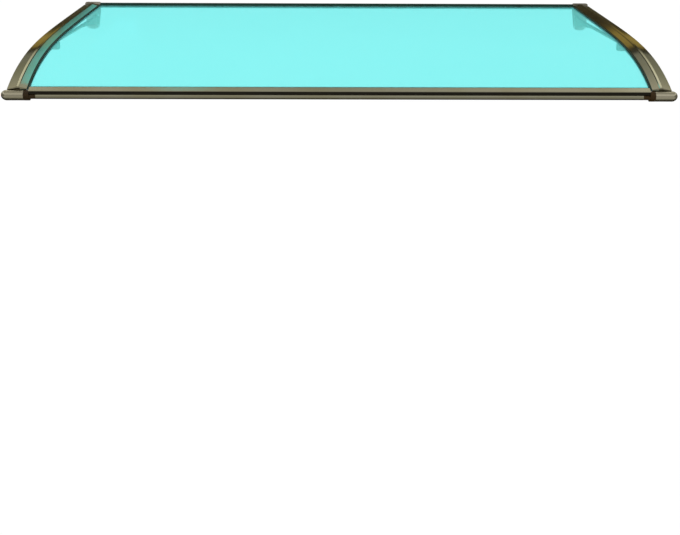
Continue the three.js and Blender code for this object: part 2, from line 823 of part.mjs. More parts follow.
function side(suffix, mirror) {
  const group = new THREE.Group();
  group.add(
    piece(`wall_bracket_${suffix}`, sharedGeometry.bracket, darkBronze),
    piece(`arm_base_${suffix}`, baseGeometry, bronze),
    piece(`arm_cover_${suffix}`, coverGeometry, bronze),
    piece(`arm_gasket_upper_${suffix}`, upperGasketGeometry, rubber),
    piece(`arm_gasket_lower_${suffix}`, lowerGasketGeometry, rubber),
    piece(`nose_cap_${suffix}`, sharedGeometry.nose, bronze),
    piece(`bar_collar_${suffix}`, sharedGeometry.collar, collarPlastic),
  );
  screwStations.forEach((station, i) => {
    const headLevel = seatLevels[station] ?? spigotTop;
    group.add(armScrew(`arm_screw_${suffix}_${i + 1}`, station, headLevel));
  });
  group.add(
    uprightScrew(`bar_screw_${suffix}`, flatScrewGeometry(barSpigotTop - barBottom - 1),
      barScrewAcross, barScrewOut, barBottom + fitGap / 3),
  );
  if (mirror) group.scale.x = -1;
  return group;
}

const canopy = new THREE.Group();
canopy.add(
  piece("canopy_sheet", sheetGeometry, tintedSheet),
  piece("front_bar", barGeometry(), bronze),
  piece("wall_rail", railGeometry(), darkBronze),
  piece("wall_seal", sealGeometry(), rubber),
  piece("rail_gasket_upper", railGasket(upperGasketBottom, upperGasketTop), rubber),
  piece("rail_gasket_lower", railGasket(lowerGasketBottom, lowerGasketTop), rubber),
  piece("bar_gasket_upper", barUpperGasket(), rubber),
  piece("bar_gasket_lower", slotGasket(projection, -flangeReach, slotReach / 2, lowerGasketBottom,
    lowerGasketTop), rubber),
  side("right", false),
  side("left", true),
);

export default canopy;
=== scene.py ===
"""Looks of a curved door canopy: a tinted sheet held along its sides by two bronze arms.

Meshes are in metres, in the part's own frame: X runs along the wall, the wall is the plane
Y = 0, the canopy reaches out along -Y, and Z is up. The sizes of the sub-assemblies are in
millimetres, and mesh code turns them into metres when it makes the points. The sizes of the
studio are in metres.
"""
import logging
import math
from dataclasses import dataclass, field, replace
from enum import Enum
from typing import Any, Callable, Sequence

import bmesh
import bpy
from mathutils import Matrix, Vector


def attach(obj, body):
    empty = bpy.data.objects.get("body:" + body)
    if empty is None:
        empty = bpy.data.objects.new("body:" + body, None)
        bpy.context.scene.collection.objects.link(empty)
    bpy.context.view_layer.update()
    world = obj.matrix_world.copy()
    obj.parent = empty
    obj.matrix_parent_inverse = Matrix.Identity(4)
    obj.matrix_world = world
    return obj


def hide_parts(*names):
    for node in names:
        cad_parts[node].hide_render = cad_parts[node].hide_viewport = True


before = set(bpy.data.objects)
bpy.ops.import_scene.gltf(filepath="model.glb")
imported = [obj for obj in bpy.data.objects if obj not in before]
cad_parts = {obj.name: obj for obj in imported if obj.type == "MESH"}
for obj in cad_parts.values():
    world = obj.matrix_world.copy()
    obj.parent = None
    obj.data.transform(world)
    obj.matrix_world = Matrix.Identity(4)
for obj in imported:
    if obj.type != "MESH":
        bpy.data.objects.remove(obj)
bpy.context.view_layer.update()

LOG = logging.getLogger("canopy")
ROOT_BODY = "root"
MM = 0.001
SHARP_ANGLE = 35.0

Corner = tuple[float, float, float]
Pair = tuple[float, float]
Outline = list[Pair]
Colour = tuple[float, float, float]
Bands = tuple[tuple[float, Colour], ...]
Ending = float | Callable[[float], float]


class Side(Enum):
    """The two ends of the canopy, as seen from the front."""

    RIGHT = "right"
    LEFT = "left"

    @property
    def sign(self) -> int:
        """+1 on the right, -1 on the left."""
        return 1 if self is Side.RIGHT else -1


class Run(Enum):
    """The direction in which a piece was extruded, which its fine lines follow."""

    OUTWARD = (1.0, 0.012, 1.0)
    ALONG_WALL = (0.012, 1.0, 1.0)
    NONE = (1.0, 1.0, 1.0)


class Axis(Enum):
    """The three directions of the frame."""

    ACROSS = "X"
    OUT = "Y"
    UP = "Z"


class Joining(Enum):
    """The ways in which a tool changes a body."""

    CUT = "DIFFERENCE"
    MERGE = "UNION"


def srgb(red: int, green: int, blue: int) -> Colour:
    """Turns a screen colour into the linear values that a shader takes.

    Args:
        red: Red from 0 to 255.
        green: Green from 0 to 255.
        blue: Blue from 0 to 255.

    Returns:
        The linear colour.
    """
    knee, slope, offset, power = 0.04045, 12.92, 0.055, 2.4

    def linear(value: int) -> float:
        """Turns one channel into its linear value.

        Args:
            value: The channel from 0 to 255.

        Returns:
            The linear value.
        """
        share = value / 255
        if share <= knee:
            return share / slope
        return ((share + offset) / (1 + offset)) ** power

    return linear(red), linear(green), linear(blue)


# Shapes


@dataclass(frozen=True)
class CanopyLine:
    """The sheet's top face in the side view, from the wall to the front bar."""

    projection: float = 800
    straight_fall: float = 81
    curl_drop: float = 58
    curl_power: int = 6
    top_at_wall: float = 1.25

    def height(self, out: float) -> float:
        """Height of the sheet's top face at a distance out from the wall."""
        share = out / self.projection
        return self.top_at_wall - self.straight_fall * share - self.curl_drop * share**self.curl_power

    def slope(self, out: float) -> float:
        """How steeply the sheet falls at a distance out from the wall.

        Args:
            out: Distance out from the wall.

        Returns:
            The fall for each step outward.
        """
        share = out / self.projection
        curl = self.curl_drop * self.curl_power * share ** (self.curl_power - 1)
        return (self.straight_fall + curl) / self.projection

    def side_point(self, station: float, along: float, above: float) -> Pair:
        """A point near the line, in the straight frame that touches it at a station.

        Args:
            station: Distance out from the wall at which the frame touches the line.
            along: Distance outward along the sheet.
            above: Distance above the sheet's top face.

        Returns:
            Distance out from the wall, and height.
        """
        angle = math.atan(self.slope(station))
        return (
            station + along * math.cos(angle) + above * math.sin(angle),
            self.height(station) - along * math.sin(angle) + above * math.cos(angle),
        )

    def height_on_level(self, station: float, above: float, out: float) -> float:
        """Height at which the straight line at one level of that frame passes a distance out."""
        start_out, start_height = self.side_point(station, 0, above)
        return start_height - (out - start_out) * self.slope(station)

    def point(self, across: float, above: float, station: float) -> Vector:
        """A point across the width, above the sheet's top face at a station."""
        out, height = self.side_point(station, 0, above)
        return Vector((across, -out, height))


def rounded(corners: Sequence[Corner], steps: int = 4) -> Outline:
    """Rounds the corners of a closed outline.

    Args:
        corners: Each corner's two coordinates and its radius.
        steps: Straight pieces in each rounding.

    Returns:
        The outline's points.
    """
    longest_share = 0.49
    outline: Outline = []
    for index, (x, y, radius) in enumerate(corners):
        if radius <= 0:
            outline.append((x, y))
            continue
        here = Vector((x, y))
        back = Vector(corners[index - 1][:2]) - here
        ahead = Vector(corners[(index + 1) % len(corners)][:2]) - here
        half = back.angle(ahead) / 2
        reach = min(
            radius / math.tan(half),
            longest_share * back.length,
            longest_share * ahead.length,
        )
        radius = reach * math.tan(half)
        middle = (back.normalized() + ahead.normalized()).normalized()
        centre = here + middle * (radius / math.sin(half))
        start = here + back.normalized() * reach - centre
        end = here + ahead.normalized() * reach - centre
        for step in range(steps + 1):
            spoke = start.lerp(end, step / steps).normalized() * radius
            outline.append(tuple(centre + spoke))
    return outline


def arc(centre: Pair, radius: float, start: float, end: float, steps: int) -> Outline:
    """Points along an arc, from one angle to another, in radians.

    Args:
        centre: The arc's centre.
        radius: Its radius.
        start: The first angle.
        end: The last angle.
        steps: Straight pieces along it.

    Returns:
        The points.
    """
    return [
        (
            centre[0] + radius * math.cos(start + (end - start) * step / steps),
            centre[1] + radius * math.sin(start + (end - start) * step / steps),
        )
        for step in range(steps + 1)
    ]


def rectangle(wide: Pair, high: Pair) -> Outline:
    """The four corners between two spans."""
    return [(wide[0], high[0]), (wide[1], high[0]), (wide[1], high[1]), (wide[0], high[1])]


def make_object(name: str, builder: bmesh.types.BMesh) -> bpy.types.Object:
    """Turns a mesh in the making into an object of the scene, with its faces outward.

    Args:
        name: Name of the object.
        builder: The mesh in the making, which is used up.

    Returns:
        The object.
    """
    bmesh.ops.recalc_face_normals(builder, faces=builder.faces)
    mesh = bpy.data.meshes.new(name)
    builder.to_mesh(mesh)
    builder.free()
    made = bpy.data.objects.new(name, mesh)
    bpy.context.scene.collection.objects.link(made)
    return made


def flat_face(name: str, corners: Sequence[Corner]) -> bpy.types.Object:
    """Makes an object of one flat face, through corners in metres.

    Args:
        name: Name of the object.
        corners: The corners in order.

    Returns:
        The object.
    """
    builder = bmesh.new()
    builder.faces.new([builder.verts.new(corner) for corner in corners])
    return make_object(name, builder)


def loft(name: str, rings: Sequence[Sequence[Vector]]) -> bpy.types.Object:
    """Makes a closed body through rings of equal count, capped at both ends.

    Args:
        name: Name of the object.
        rings: The rings' points in millimetres.

    Returns:
        The object.
    """
    builder = bmesh.new()
    made = [[builder.verts.new(point * MM) for point in ring] for ring in rings]
    for near, far in zip(made, made[1:]):
        for index, corner in enumerate(near):
            following = (index + 1) % len(near)
            builder.faces.new((corner, near[following], far[following], far[index]))
    builder.faces.new(made[0])
    builder.faces.new(made[-1])
    return make_object(name, builder)


def sweep(
    name: str,
    line: CanopyLine,
    section: Outline,
    start: float,
    end: Ending,
    steps: int = 72,
) -> bpy.types.Object:
    """Carries a section along the canopy line, with shorter steps towards the nose.

    Args:
        name: Name of the object.
        line: The canopy line.
        section: Points as place across and level above the sheet's top face.
        start: Station at which it begins.
        end: Station at which it ends, or one for each level.
        steps: Steps along the line.

    Returns:
        The object.
    """
    ends = [end(level) if callable(end) else end for _, level in section]
    rings = []
    for step in range(steps + 1):
        share = step / steps
        stations = [math.sqrt(start**2 + (last**2 - start**2) * share) for last in ends]
        rings.append([line.point(*corner, station) for corner, station in zip(section, stations)])
    return loft(name, rings)


def extrude(name: str, outline: Outline, start: float, end: float) -> bpy.types.Object:
    """Extrudes a side-view outline across the width, from one place to another.

    Args:
        name: Name of the object.
        outline: Points as distance out and height.
        start: The first place across.
        end: The last place across.

    Returns:
        The object.
    """
    rings = [
        [Vector((across, -out, height)) for out, height in outline] for across in (start, end)
    ]
    return loft(name, rings)


def turned(
    name: str, profile: Outline, frame_at: Matrix, sides: int = 64
) -> bpy.types.Object:
    """Turns a profile about an axis. It starts and ends on the axis.

    Args:
        name: Name of the object.
        profile: Points as radius and height along the axis.
        frame_at: Where the axis lies, in millimetres. Its own Z is the axis.
        sides: Straight pieces round the axis.

    Returns:
        The object.
    """
    builder = bmesh.new()

    def ring(radius: float, height: float) -> list[bmesh.types.BMVert]:
        """Places a ring of corners, or a single corner on the axis.

        Args:
            radius: Its radius.
            height: Its height along the axis.

        Returns:
            The corners.
        """
        count = sides if radius > 0 else 1
        turns = [2 * math.pi * index / count for index in range(count)]
        corners = [Vector((radius * math.cos(turn), radius * math.sin(turn), height)) for turn in turns]
        return [builder.verts.new((frame_at @ corner) * MM) for corner in corners]

    rings = [ring(radius, height) for radius, height in profile]
    for near, far in zip(rings, rings[1:]):
        for side in range(sides):
            following = (side + 1) % sides
            if len(near) == 1:
                builder.faces.new((near[0], far[side], far[following]))
            elif len(far) == 1:
                builder.faces.new((near[side], near[following], far[0]))
            else:
                builder.faces.new((near[side], near[following], far[following], far[side]))
    return make_object(name, builder)


def end_blocks(name: str, across: Pair, out: Pair, height: Pair) -> list[bpy.types.Object]:
    """Makes two boxes as cutting tools, one at each end of the canopy.

    Args:
        name: Name of the tools, to which each adds its side.
        across: From where to where they reach across, on the right-hand side.
        out: The same, outward from the wall.
        height: The same, in height.

    Returns:
        The two boxes.
    """
    return [
        extrude(
            f"{name}_{side.value}",
            rectangle(out, height),
            *sorted(side.sign * place_across for place_across in across),
        )
        for side in Side
    ]


def combine(
    target: bpy.types.Object, joining: Joining, tools: Sequence[bpy.types.Object]
) -> bpy.types.Object:
    """Cuts tools out of an object, or joins them to it, and removes them.

    Args:
        target: The object that stays.
        joining: Whether the tools are cut out or joined on.
        tools: The objects to cut out or join.

    Returns:
        The changed object.
    """
    for tool in tools:
        modifier = target.modifiers.new("combine", "BOOLEAN")
        modifier.operation = joining.value
        modifier.solver = "EXACT"
        modifier.object = tool
    bpy.context.view_layer.update()
    graph = bpy.context.evaluated_depsgraph_get()
    mesh = bpy.data.meshes.new_from_object(target.evaluated_get(graph))
    target.modifiers.clear()
    old = target.data
    target.data = mesh
    mesh.name = target.name
    bpy.data.meshes.remove(old)
    for tool in tools:
        bpy.data.objects.remove(tool, do_unlink=True)
    return target


def round_edges(piece: bpy.types.Object, width: float, segments: int) -> None:
    """Adds a modifier that rounds a piece's sharp edges, with a width in millimetres.

    Args:
        piece: The piece.
        width: Width of the rounding.
        segments: Straight pieces in each rounding.
    """
    bevel = piece.modifiers.new("edge_rounding", "BEVEL")
    bevel.width = width * MM
    bevel.segments = segments
    bevel.limit_method = "ANGLE"
    bevel.angle_limit = math.radians(SHARP_ANGLE)
    bevel.use_clamp_overlap = True


def soften(piece: bpy.types.Object, width: float, segments: int = 2) -> bpy.types.Object:
    """Rounds a piece's sharp edges a little and shades it smoothly between them.

    Args:
        piece: The piece.
        width: Width of the rounding, in millimetres.
        segments: Straight pieces in each rounding.

    Returns:
        The same piece.
    """
    piece.data.shade_smooth()
    round_edges(piece, width, segments)
    normals = piece.modifiers.new("flat_faces", "WEIGHTED_NORMAL")
    normals.keep_sharp = True
    return piece


def shade(piece: bpy.types.Object, angle: float = SHARP_ANGLE) -> None:
    """Shades a piece smoothly, except over edges that turn by more than an angle in degrees."""
    piece.data.shade_smooth()
    piece.data.set_sharp_from_angle(angle=math.radians(angle))


def place(
    piece: bpy.types.Object, material: bpy.types.Material, slot: str, *replaced: str
) -> bpy.types.Object:
    """Dresses a finished piece and hands it to the frame.

    Args:
        piece: The piece.
        material: Its material.
        slot: The record's material slot. Not used.
        replaced: The CAD nodes that it stands for.

    Returns:
        The same piece.
    """
    piece.data.materials.clear()
    piece.data.materials.append(material)
    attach(piece, ROOT_BODY)
    if replaced:
        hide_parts(*replaced)
    LOG.info("%s: %d faces", piece.name, len(piece.data.polygons))
    return piece


def dress_node(name: str, material: bpy.types.Material) -> bpy.types.Object:
    """Gives a CAD node that stays a procedural material.

    Args:
        name: The node's name.
        material: Its material.

    Returns:
        The node.
    """
    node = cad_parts[name]
    for holder in node.material_slots:
        holder.link = "OBJECT"
        holder.material = material
    LOG.info("%s: keeps its solid", name)
    return node


# Shader groups and finishes


class Graph:
    """Adds nodes to a tree and links them."""

    def __init__(self, tree: bpy.types.NodeTree) -> None:
        """Holds the tree.

        Args:
            tree: The tree to work on.
        """
        self.tree = tree

    def node(self, kind: str, **settings: Any) -> bpy.types.Node:
        """Adds a node and sets its own properties.

        Args:
            kind: Kind of node.
            settings: Its own properties.

        Returns:
            The node.
        """
        made = self.tree.nodes.new(kind)
        for key, value in settings.items():
            setattr(made, key, value)
        return made

    def feed(self, socket: bpy.types.NodeSocket, value: Any) -> None:
        """Links a socket to an input, or sets the input to a plain value.

        Args:
            socket: The input.
            value: A socket, a number, or a colour or vector as a tuple.
        """
        if isinstance(value, bpy.types.NodeSocket):
            self.tree.links.new(value, socket)
        elif isinstance(value, tuple) and len(socket.default_value) == len(value) + 1:
            socket.default_value = (*value, 1)
        else:
            socket.default_value = value

    def fill(self, node: bpy.types.Node, **values: Any) -> bpy.types.Node:
        """Feeds inputs by their names, in which an underscore stands for a space.

        Args:
            node: The node.
            values: A socket or a plain value for each input.

        Returns:
            The same node.
        """
        for key, value in values.items():
            self.feed(node.inputs[key.replace("_", " ")], value)
        return node

    def math(self, operation: str, first: Any, second: Any = 0.0, clamp: bool = False) -> Any:
        """Adds a math node.

        Args:
            operation: Its operation.
            first: A socket or a number.
            second: A socket or a number.
            clamp: Whether the result stays between 0 and 1.

        Returns:
            Its output socket.
        """
        made = self.node("ShaderNodeMath", operation=operation, use_clamp=clamp)
        self.feed(made.inputs[0], first)
        self.feed(made.inputs[1], second)
        return made.outputs[0]

    def mix(self, share: Any, first: Any, second: Any) -> Any:
        """Mixes two colours by a share.

        Args:
            share: Share of the second colour, as a socket or a number.
            first: A socket or a colour.
            second: A socket or a colour.

        Returns:
            Its output socket.
        """
        made = self.node("ShaderNodeMix", data_type="RGBA")
        factor, colour_a, colour_b = made.inputs[0], made.inputs[6], made.inputs[7]
        for socket, value in ((factor, share), (colour_a, first), (colour_b, second)):
            self.feed(socket, value)
        return made.outputs[2]

    def blend(self, share: Any, first: Any, second: Any) -> Any:
        """Blends two shaders by a share.

        Args:
            share: Share of the second shader, as a socket or a number.
            first: A shader's socket.
            second: A shader's socket.

        Returns:
            Its output socket.
        """
        made = self.node("ShaderNodeMixShader")
        for socket, value in zip(made.inputs, (share, first, second)):
            self.feed(socket, value)
        return made.outputs[0]

    def noise(self, position: Any, scale: Any, detail: float, roughness: float = 0.5) -> Any:
        """Adds soft noise over a position.

        Args:
            position: Socket of the position.
            scale: How fine it is, as a socket or a number.
            detail: How many finer layers it has.
            roughness: How strong the finer layers are.

        Returns:
            The socket of its value.
        """
        made = self.node("ShaderNodeTexNoise")
        self.fill(made, Vector=position, Scale=scale, Detail=detail, Roughness=roughness)
        return made.outputs["Fac"]

    def between(self, value: Any, source: Pair, target: Pair = (0.0, 1.0), **settings: Any) -> Any:
        """Moves a value from one span to another.

        Args:
            value: Socket of the value.
            source: The span that it comes from.
            target: The span that it goes to.
            settings: The node's own properties.

        Returns:
            The socket of the result.
        """
        made = self.node("ShaderNodeMapRange", **settings)
        self.fill(made, Value=value, From_Min=source[0], From_Max=source[1])
        self.fill(made, To_Min=target[0], To_Max=target[1])
        return made.outputs["Result"]

    def part(self, vector: Any, axis: Axis) -> Any:
        """One axis of a vector.

        Args:
            vector: Socket of the vector.
            axis: The axis.

        Returns:
            The socket of that axis.
        """
        made = self.node("ShaderNodeSeparateXYZ")
        self.feed(made.inputs[0], vector)
        return made.outputs[axis.value]

    @property
    def position(self) -> Any:
        """The place on the piece, in its own frame.

        Returns:
            Its socket.
        """
        name = "place_on_piece"
        made = self.tree.nodes.get(name) or self.node("ShaderNodeTexCoord", name=name)
        return made.outputs["Object"]

    def effect(self, tree: bpy.types.NodeTree, **values: Any) -> bpy.types.Node:
        """Places a shared group, fed with the position and with its own values."""
        made = self.node("ShaderNodeGroup", node_tree=tree)
        return self.fill(made, Position=self.position, **values)

    def relief(self, height: Any, strength: float, depth: float) -> Any:
        """Adds fine relief of a depth in metres and returns the socket of the changed normal."""
        made = self.node("ShaderNodeBump")
        return self.fill(made, Height=height, Strength=strength, Distance=depth).outputs["Normal"]


def new_group(name: str, inputs: dict[str, str], outputs: dict[str, str]) -> tuple[Graph, Any, Any]:
    """Starts a shader group with named sockets.

    Args:
        name: Name of the group.
        inputs: Socket kind of each named input.
        outputs: Socket kind of each named output.

    Returns:
        The group's graph, its input node and its output node.
    """
    tree = bpy.data.node_groups.new(name, "ShaderNodeTree")
    for label, kind in inputs.items():
        tree.interface.new_socket(label, in_out="INPUT", socket_type=f"NodeSocket{kind}")
    for label, kind in outputs.items():
        tree.interface.new_socket(label, in_out="OUTPUT", socket_type=f"NodeSocket{kind}")
    graph = Graph(tree)
    return graph, graph.node("NodeGroupInput"), graph.node("NodeGroupOutput")


class SharedEffects:
    """The surface effects that several finishes use, each built once."""

    def __init__(self) -> None:
        """Builds the groups."""
        self.tone = self._tone_drift()
        self.grain = self._drawn_grain()
        self.wear = self._edge_wear()
        self.dust_and_shade = self._settled_dust_and_shade()

    @staticmethod
    def _tone_drift() -> bpy.types.NodeTree:
        """Slow, soft change between two colours over the surface.

        Returns:
            The group.
        """
        graph, given, result = new_group(
            "tone_drift",
            {
                "Position": "Vector",
                "Patches": "Float",
                "Amount": "Float",
                "Base": "Color",
                "Drift": "Color",
            },
            {"Colour": "Color", "Mask": "Float"},
        )
        detail, roughness, contrast = 3, 0.55, (0.35, 0.65)
        patches = graph.noise(given.outputs["Position"], given.outputs["Patches"], detail, roughness)
        spread = graph.between(patches, contrast, interpolation_type="SMOOTHSTEP")
        share = graph.math("MULTIPLY", spread, given.outputs["Amount"])
        colour = graph.mix(share, given.outputs["Base"], given.outputs["Drift"])
        graph.fill(result, Colour=colour, Mask=spread)
        return graph.tree

    @staticmethod
    def _drawn_grain() -> bpy.types.NodeTree:
        """Fine grain, drawn out in the direction in which the piece was extruded.

        Returns:
            The group.
        """
        graph, given, result = new_group(
            "drawn_grain",
            {"Position": "Vector", "Direction": "Vector", "Fineness": "Float"},
            {"Height": "Float", "Mask": "Float"},
        )
        fine_detail, fine_roughness, broad_detail, broad_share = 4, 0.6, 2, 0.15
        drawn = graph.node("ShaderNodeVectorMath", operation="MULTIPLY")
        graph.feed(drawn.inputs[0], given.outputs["Position"])
        graph.feed(drawn.inputs[1], given.outputs["Direction"])
        fineness = given.outputs["Fineness"]
        coarseness = graph.math("MULTIPLY", fineness, broad_share)
        fine = graph.noise(drawn.outputs[0], fineness, fine_detail, fine_roughness)
        broad = graph.noise(drawn.outputs[0], coarseness, broad_detail)
        height = graph.math("MULTIPLY", graph.math("ADD", fine, broad), 0.5)
        graph.fill(result, Height=height, Mask=broad)
        return graph.tree

    @staticmethod
    def _edge_wear() -> bpy.types.NodeTree:
        """Mask of rubbed edges, broken up by noise.

        Returns:
            The group.
        """
        graph, given, result = new_group(
            "edge_wear",
            {"Position": "Vector", "Width": "Float", "Amount": "Float"},
            {"Mask": "Float"},
        )
        samples, contrast, patch_scale, patch_detail = 4, 6, 160, 4
        bevel = graph.node("ShaderNodeBevel", samples=samples)
        graph.fill(bevel, Radius=given.outputs["Width"])
        surface = graph.node("ShaderNodeNewGeometry")
        dot = graph.node("ShaderNodeVectorMath", operation="DOT_PRODUCT")
        graph.feed(dot.inputs[0], bevel.outputs["Normal"])
        graph.feed(dot.inputs[1], surface.outputs["Normal"])
        turn = graph.math("SUBTRACT", 1, dot.outputs["Value"])
        edges = graph.math("MULTIPLY", turn, contrast, clamp=True)
        patches = graph.noise(given.outputs["Position"], patch_scale, patch_detail)
        broken = graph.math("MULTIPLY", edges, patches)
        graph.fill(result, Mask=graph.math("MULTIPLY", broken, given.outputs["Amount"], clamp=True))
        return graph.tree

    @staticmethod
    def _settled_dust_and_shade() -> bpy.types.NodeTree:
        """Mask of a thin film on surfaces that face up above a height, thicker in patches: dust on most
        finishes, painted shade on the cast bronze.

        Returns:
            The group.
        """
        graph, given, result = new_group(
            "settled_dust_and_shade",
            {"Position": "Vector", "Amount": "Float", "Steep": "Float", "Shelter": "Float"},
            {"Mask": "Float"},
        )
        falloff, patch_scale, patch_detail = 3, 22, 6
        surface = graph.node("ShaderNodeNewGeometry")
        upward = graph.math("MAXIMUM", graph.part(surface.outputs["Normal"], Axis.UP), 0)
        level = graph.math("POWER", upward, falloff)
        holding = graph.math("MAXIMUM", level, given.outputs["Steep"])
        patches = graph.noise(given.outputs["Position"], patch_scale, patch_detail)
        patchy = graph.math("MULTIPLY", holding, patches)
        film = graph.math("MULTIPLY", patchy, given.outputs["Amount"], clamp=True)
        height = graph.part(given.outputs["Position"], Axis.UP)
        open_above = graph.math("GREATER_THAN", height, given.outputs["Shelter"])
        graph.fill(result, Mask=graph.math("MULTIPLY", film, open_above))
        return graph.tree


def start_material(name: str) -> tuple[bpy.types.Material, Graph, bpy.types.Node]:
    """Starts a material.

    Args:
        name: Name of the material.

    Returns:
        The material, its graph and its surface shader.
    """
    material = bpy.data.materials.new(name)
    material.use_nodes = True
    return material, Graph(material.node_tree), material.node_tree.nodes["Principled BSDF"]


@dataclass(frozen=True)
class SolidFinish:
    """An opaque finish: metal, moulded plastic or rubber."""

    name: str
    base: Colour
    drift: Colour
    worn: Colour
    # dust_and_shade and the fields named after it: a film that is dust on most finishes and painted shade
    # on the cast bronze.
    dust_and_shade: Colour
    metallic: float
    roughness: float
    roughness_spread: float
    edge_reflection: Colour = (1.0, 1.0, 1.0)
    specular: float = 0.5
    patches: float = 9.0
    drift_amount: float = 0.6
    wear_width: float = 0.5
    wear_amount: float = 0.35
    dust_and_shade_amount: float = 0.08
    dust_and_shade_on_steep: float = 0.0
    dust_and_shade_above: float = -1000.0
    fineness: float = 2400.0
    relief: float = 0.25
    relief_depth: float = 0.00004

    def material(self, effects: SharedEffects, run: Run) -> bpy.types.Material:
        """Builds the finish for pieces extruded in one direction.

        Args:
            effects: The shared shader groups.
            run: The direction of the fine lines.

        Returns:
            The material.
        """
        material, graph, shader = start_material(f"{self.name}_{run.name.lower()}")
        tone = graph.effect(
            effects.tone, Patches=self.patches, Amount=self.drift_amount, Base=self.base, Drift=self.drift
        )
        grain = graph.effect(effects.grain, Direction=run.value, Fineness=self.fineness)
        wear = graph.effect(effects.wear, Width=self.wear_width * MM, Amount=self.wear_amount)
        # The film mixed in here is dust on most finishes; on the cast bronze it is painted shade, a dark
        # film on the parts above the sheet that the lamps light directly.
        dust_and_shade = graph.effect(
            effects.dust_and_shade,
            Amount=self.dust_and_shade_amount,
            Steep=self.dust_and_shade_on_steep,
            Shelter=self.dust_and_shade_above * MM,
        )
        worn = graph.mix(wear.outputs["Mask"], tone.outputs["Colour"], self.worn)
        spread = (self.roughness - self.roughness_spread, self.roughness + self.roughness_spread)
        rough = graph.between(grain.outputs["Mask"], (0.0, 1.0), spread)
        graph.fill(
            shader,
            Base_Color=graph.mix(dust_and_shade.outputs["Mask"], worn, self.dust_and_shade),
            Roughness=graph.math("ADD", rough, dust_and_shade.outputs["Mask"], clamp=True),
            Normal=graph.relief(grain.outputs["Height"], self.relief, self.relief_depth),
            Metallic=self.metallic,
            Specular_IOR_Level=self.specular,
            Specular_Tint=self.edge_reflection,
        )
        return material


@dataclass(frozen=True)
class SheetFinish:
    """The see-through tinted sheet, and the darker look of its cut edge."""

    name: str = "tinted_sheet"
    tint: Colour = srgb(150, 248, 247)
    drift: Colour = srgb(148, 247, 246)
    patches: float = 3.0
    drift_amount: float = 0.5
    transmission: float = 0.74
    refraction: float = 1.012
    roughness: float = 0.08
    roughness_spread: float = 0.024
    fineness: float = 300.0
    edge: Colour = srgb(20, 74, 68)
    edge_drift: Colour = srgb(28, 96, 90)
    edge_patches: float = 20.0
    edge_roughness: float = 0.45
    edge_fineness: float = 900.0
    edge_relief: float = 0.4
    edge_relief_depth: float = 0.0001

    def material(self, effects: SharedEffects) -> bpy.types.Material:
        """Builds the sheet's own material.

        Args:
            effects: The shared shader groups.

        Returns:
            The material.
        """
        material, graph, shader = start_material(self.name)
        tone = graph.effect(
            effects.tone, Patches=self.patches, Amount=self.drift_amount, Base=self.tint, Drift=self.drift
        )
        grain = graph.effect(effects.grain, Direction=Run.OUTWARD.value, Fineness=self.fineness)
        spread = (self.roughness - self.roughness_spread, self.roughness + self.roughness_spread)
        graph.fill(
            shader,
            Base_Color=tone.outputs["Colour"],
            Roughness=graph.between(grain.outputs["Mask"], (0.0, 1.0), spread),
            Transmission_Weight=self.transmission,
            IOR=self.refraction,
        )
        return material

    def edge_material(self, effects: SharedEffects) -> bpy.types.Material:
        """Builds the material of the sheet's cut edge.

        Args:
            effects: The shared shader groups.

        Returns:
            The material.
        """
        material, graph, shader = start_material(f"{self.name}_edge")
        tone = graph.effect(
            effects.tone,
            Patches=self.edge_patches,
            Amount=self.drift_amount,
            Base=self.edge,
            Drift=self.edge_drift,
        )
        grain = graph.effect(effects.grain, Direction=Run.NONE.value, Fineness=self.edge_fineness)
        graph.fill(
            shader,
            Base_Color=tone.outputs["Colour"],
            Roughness=self.edge_roughness,
            Normal=graph.relief(grain.outputs["Height"], self.edge_relief, self.edge_relief_depth),
        )
        return material


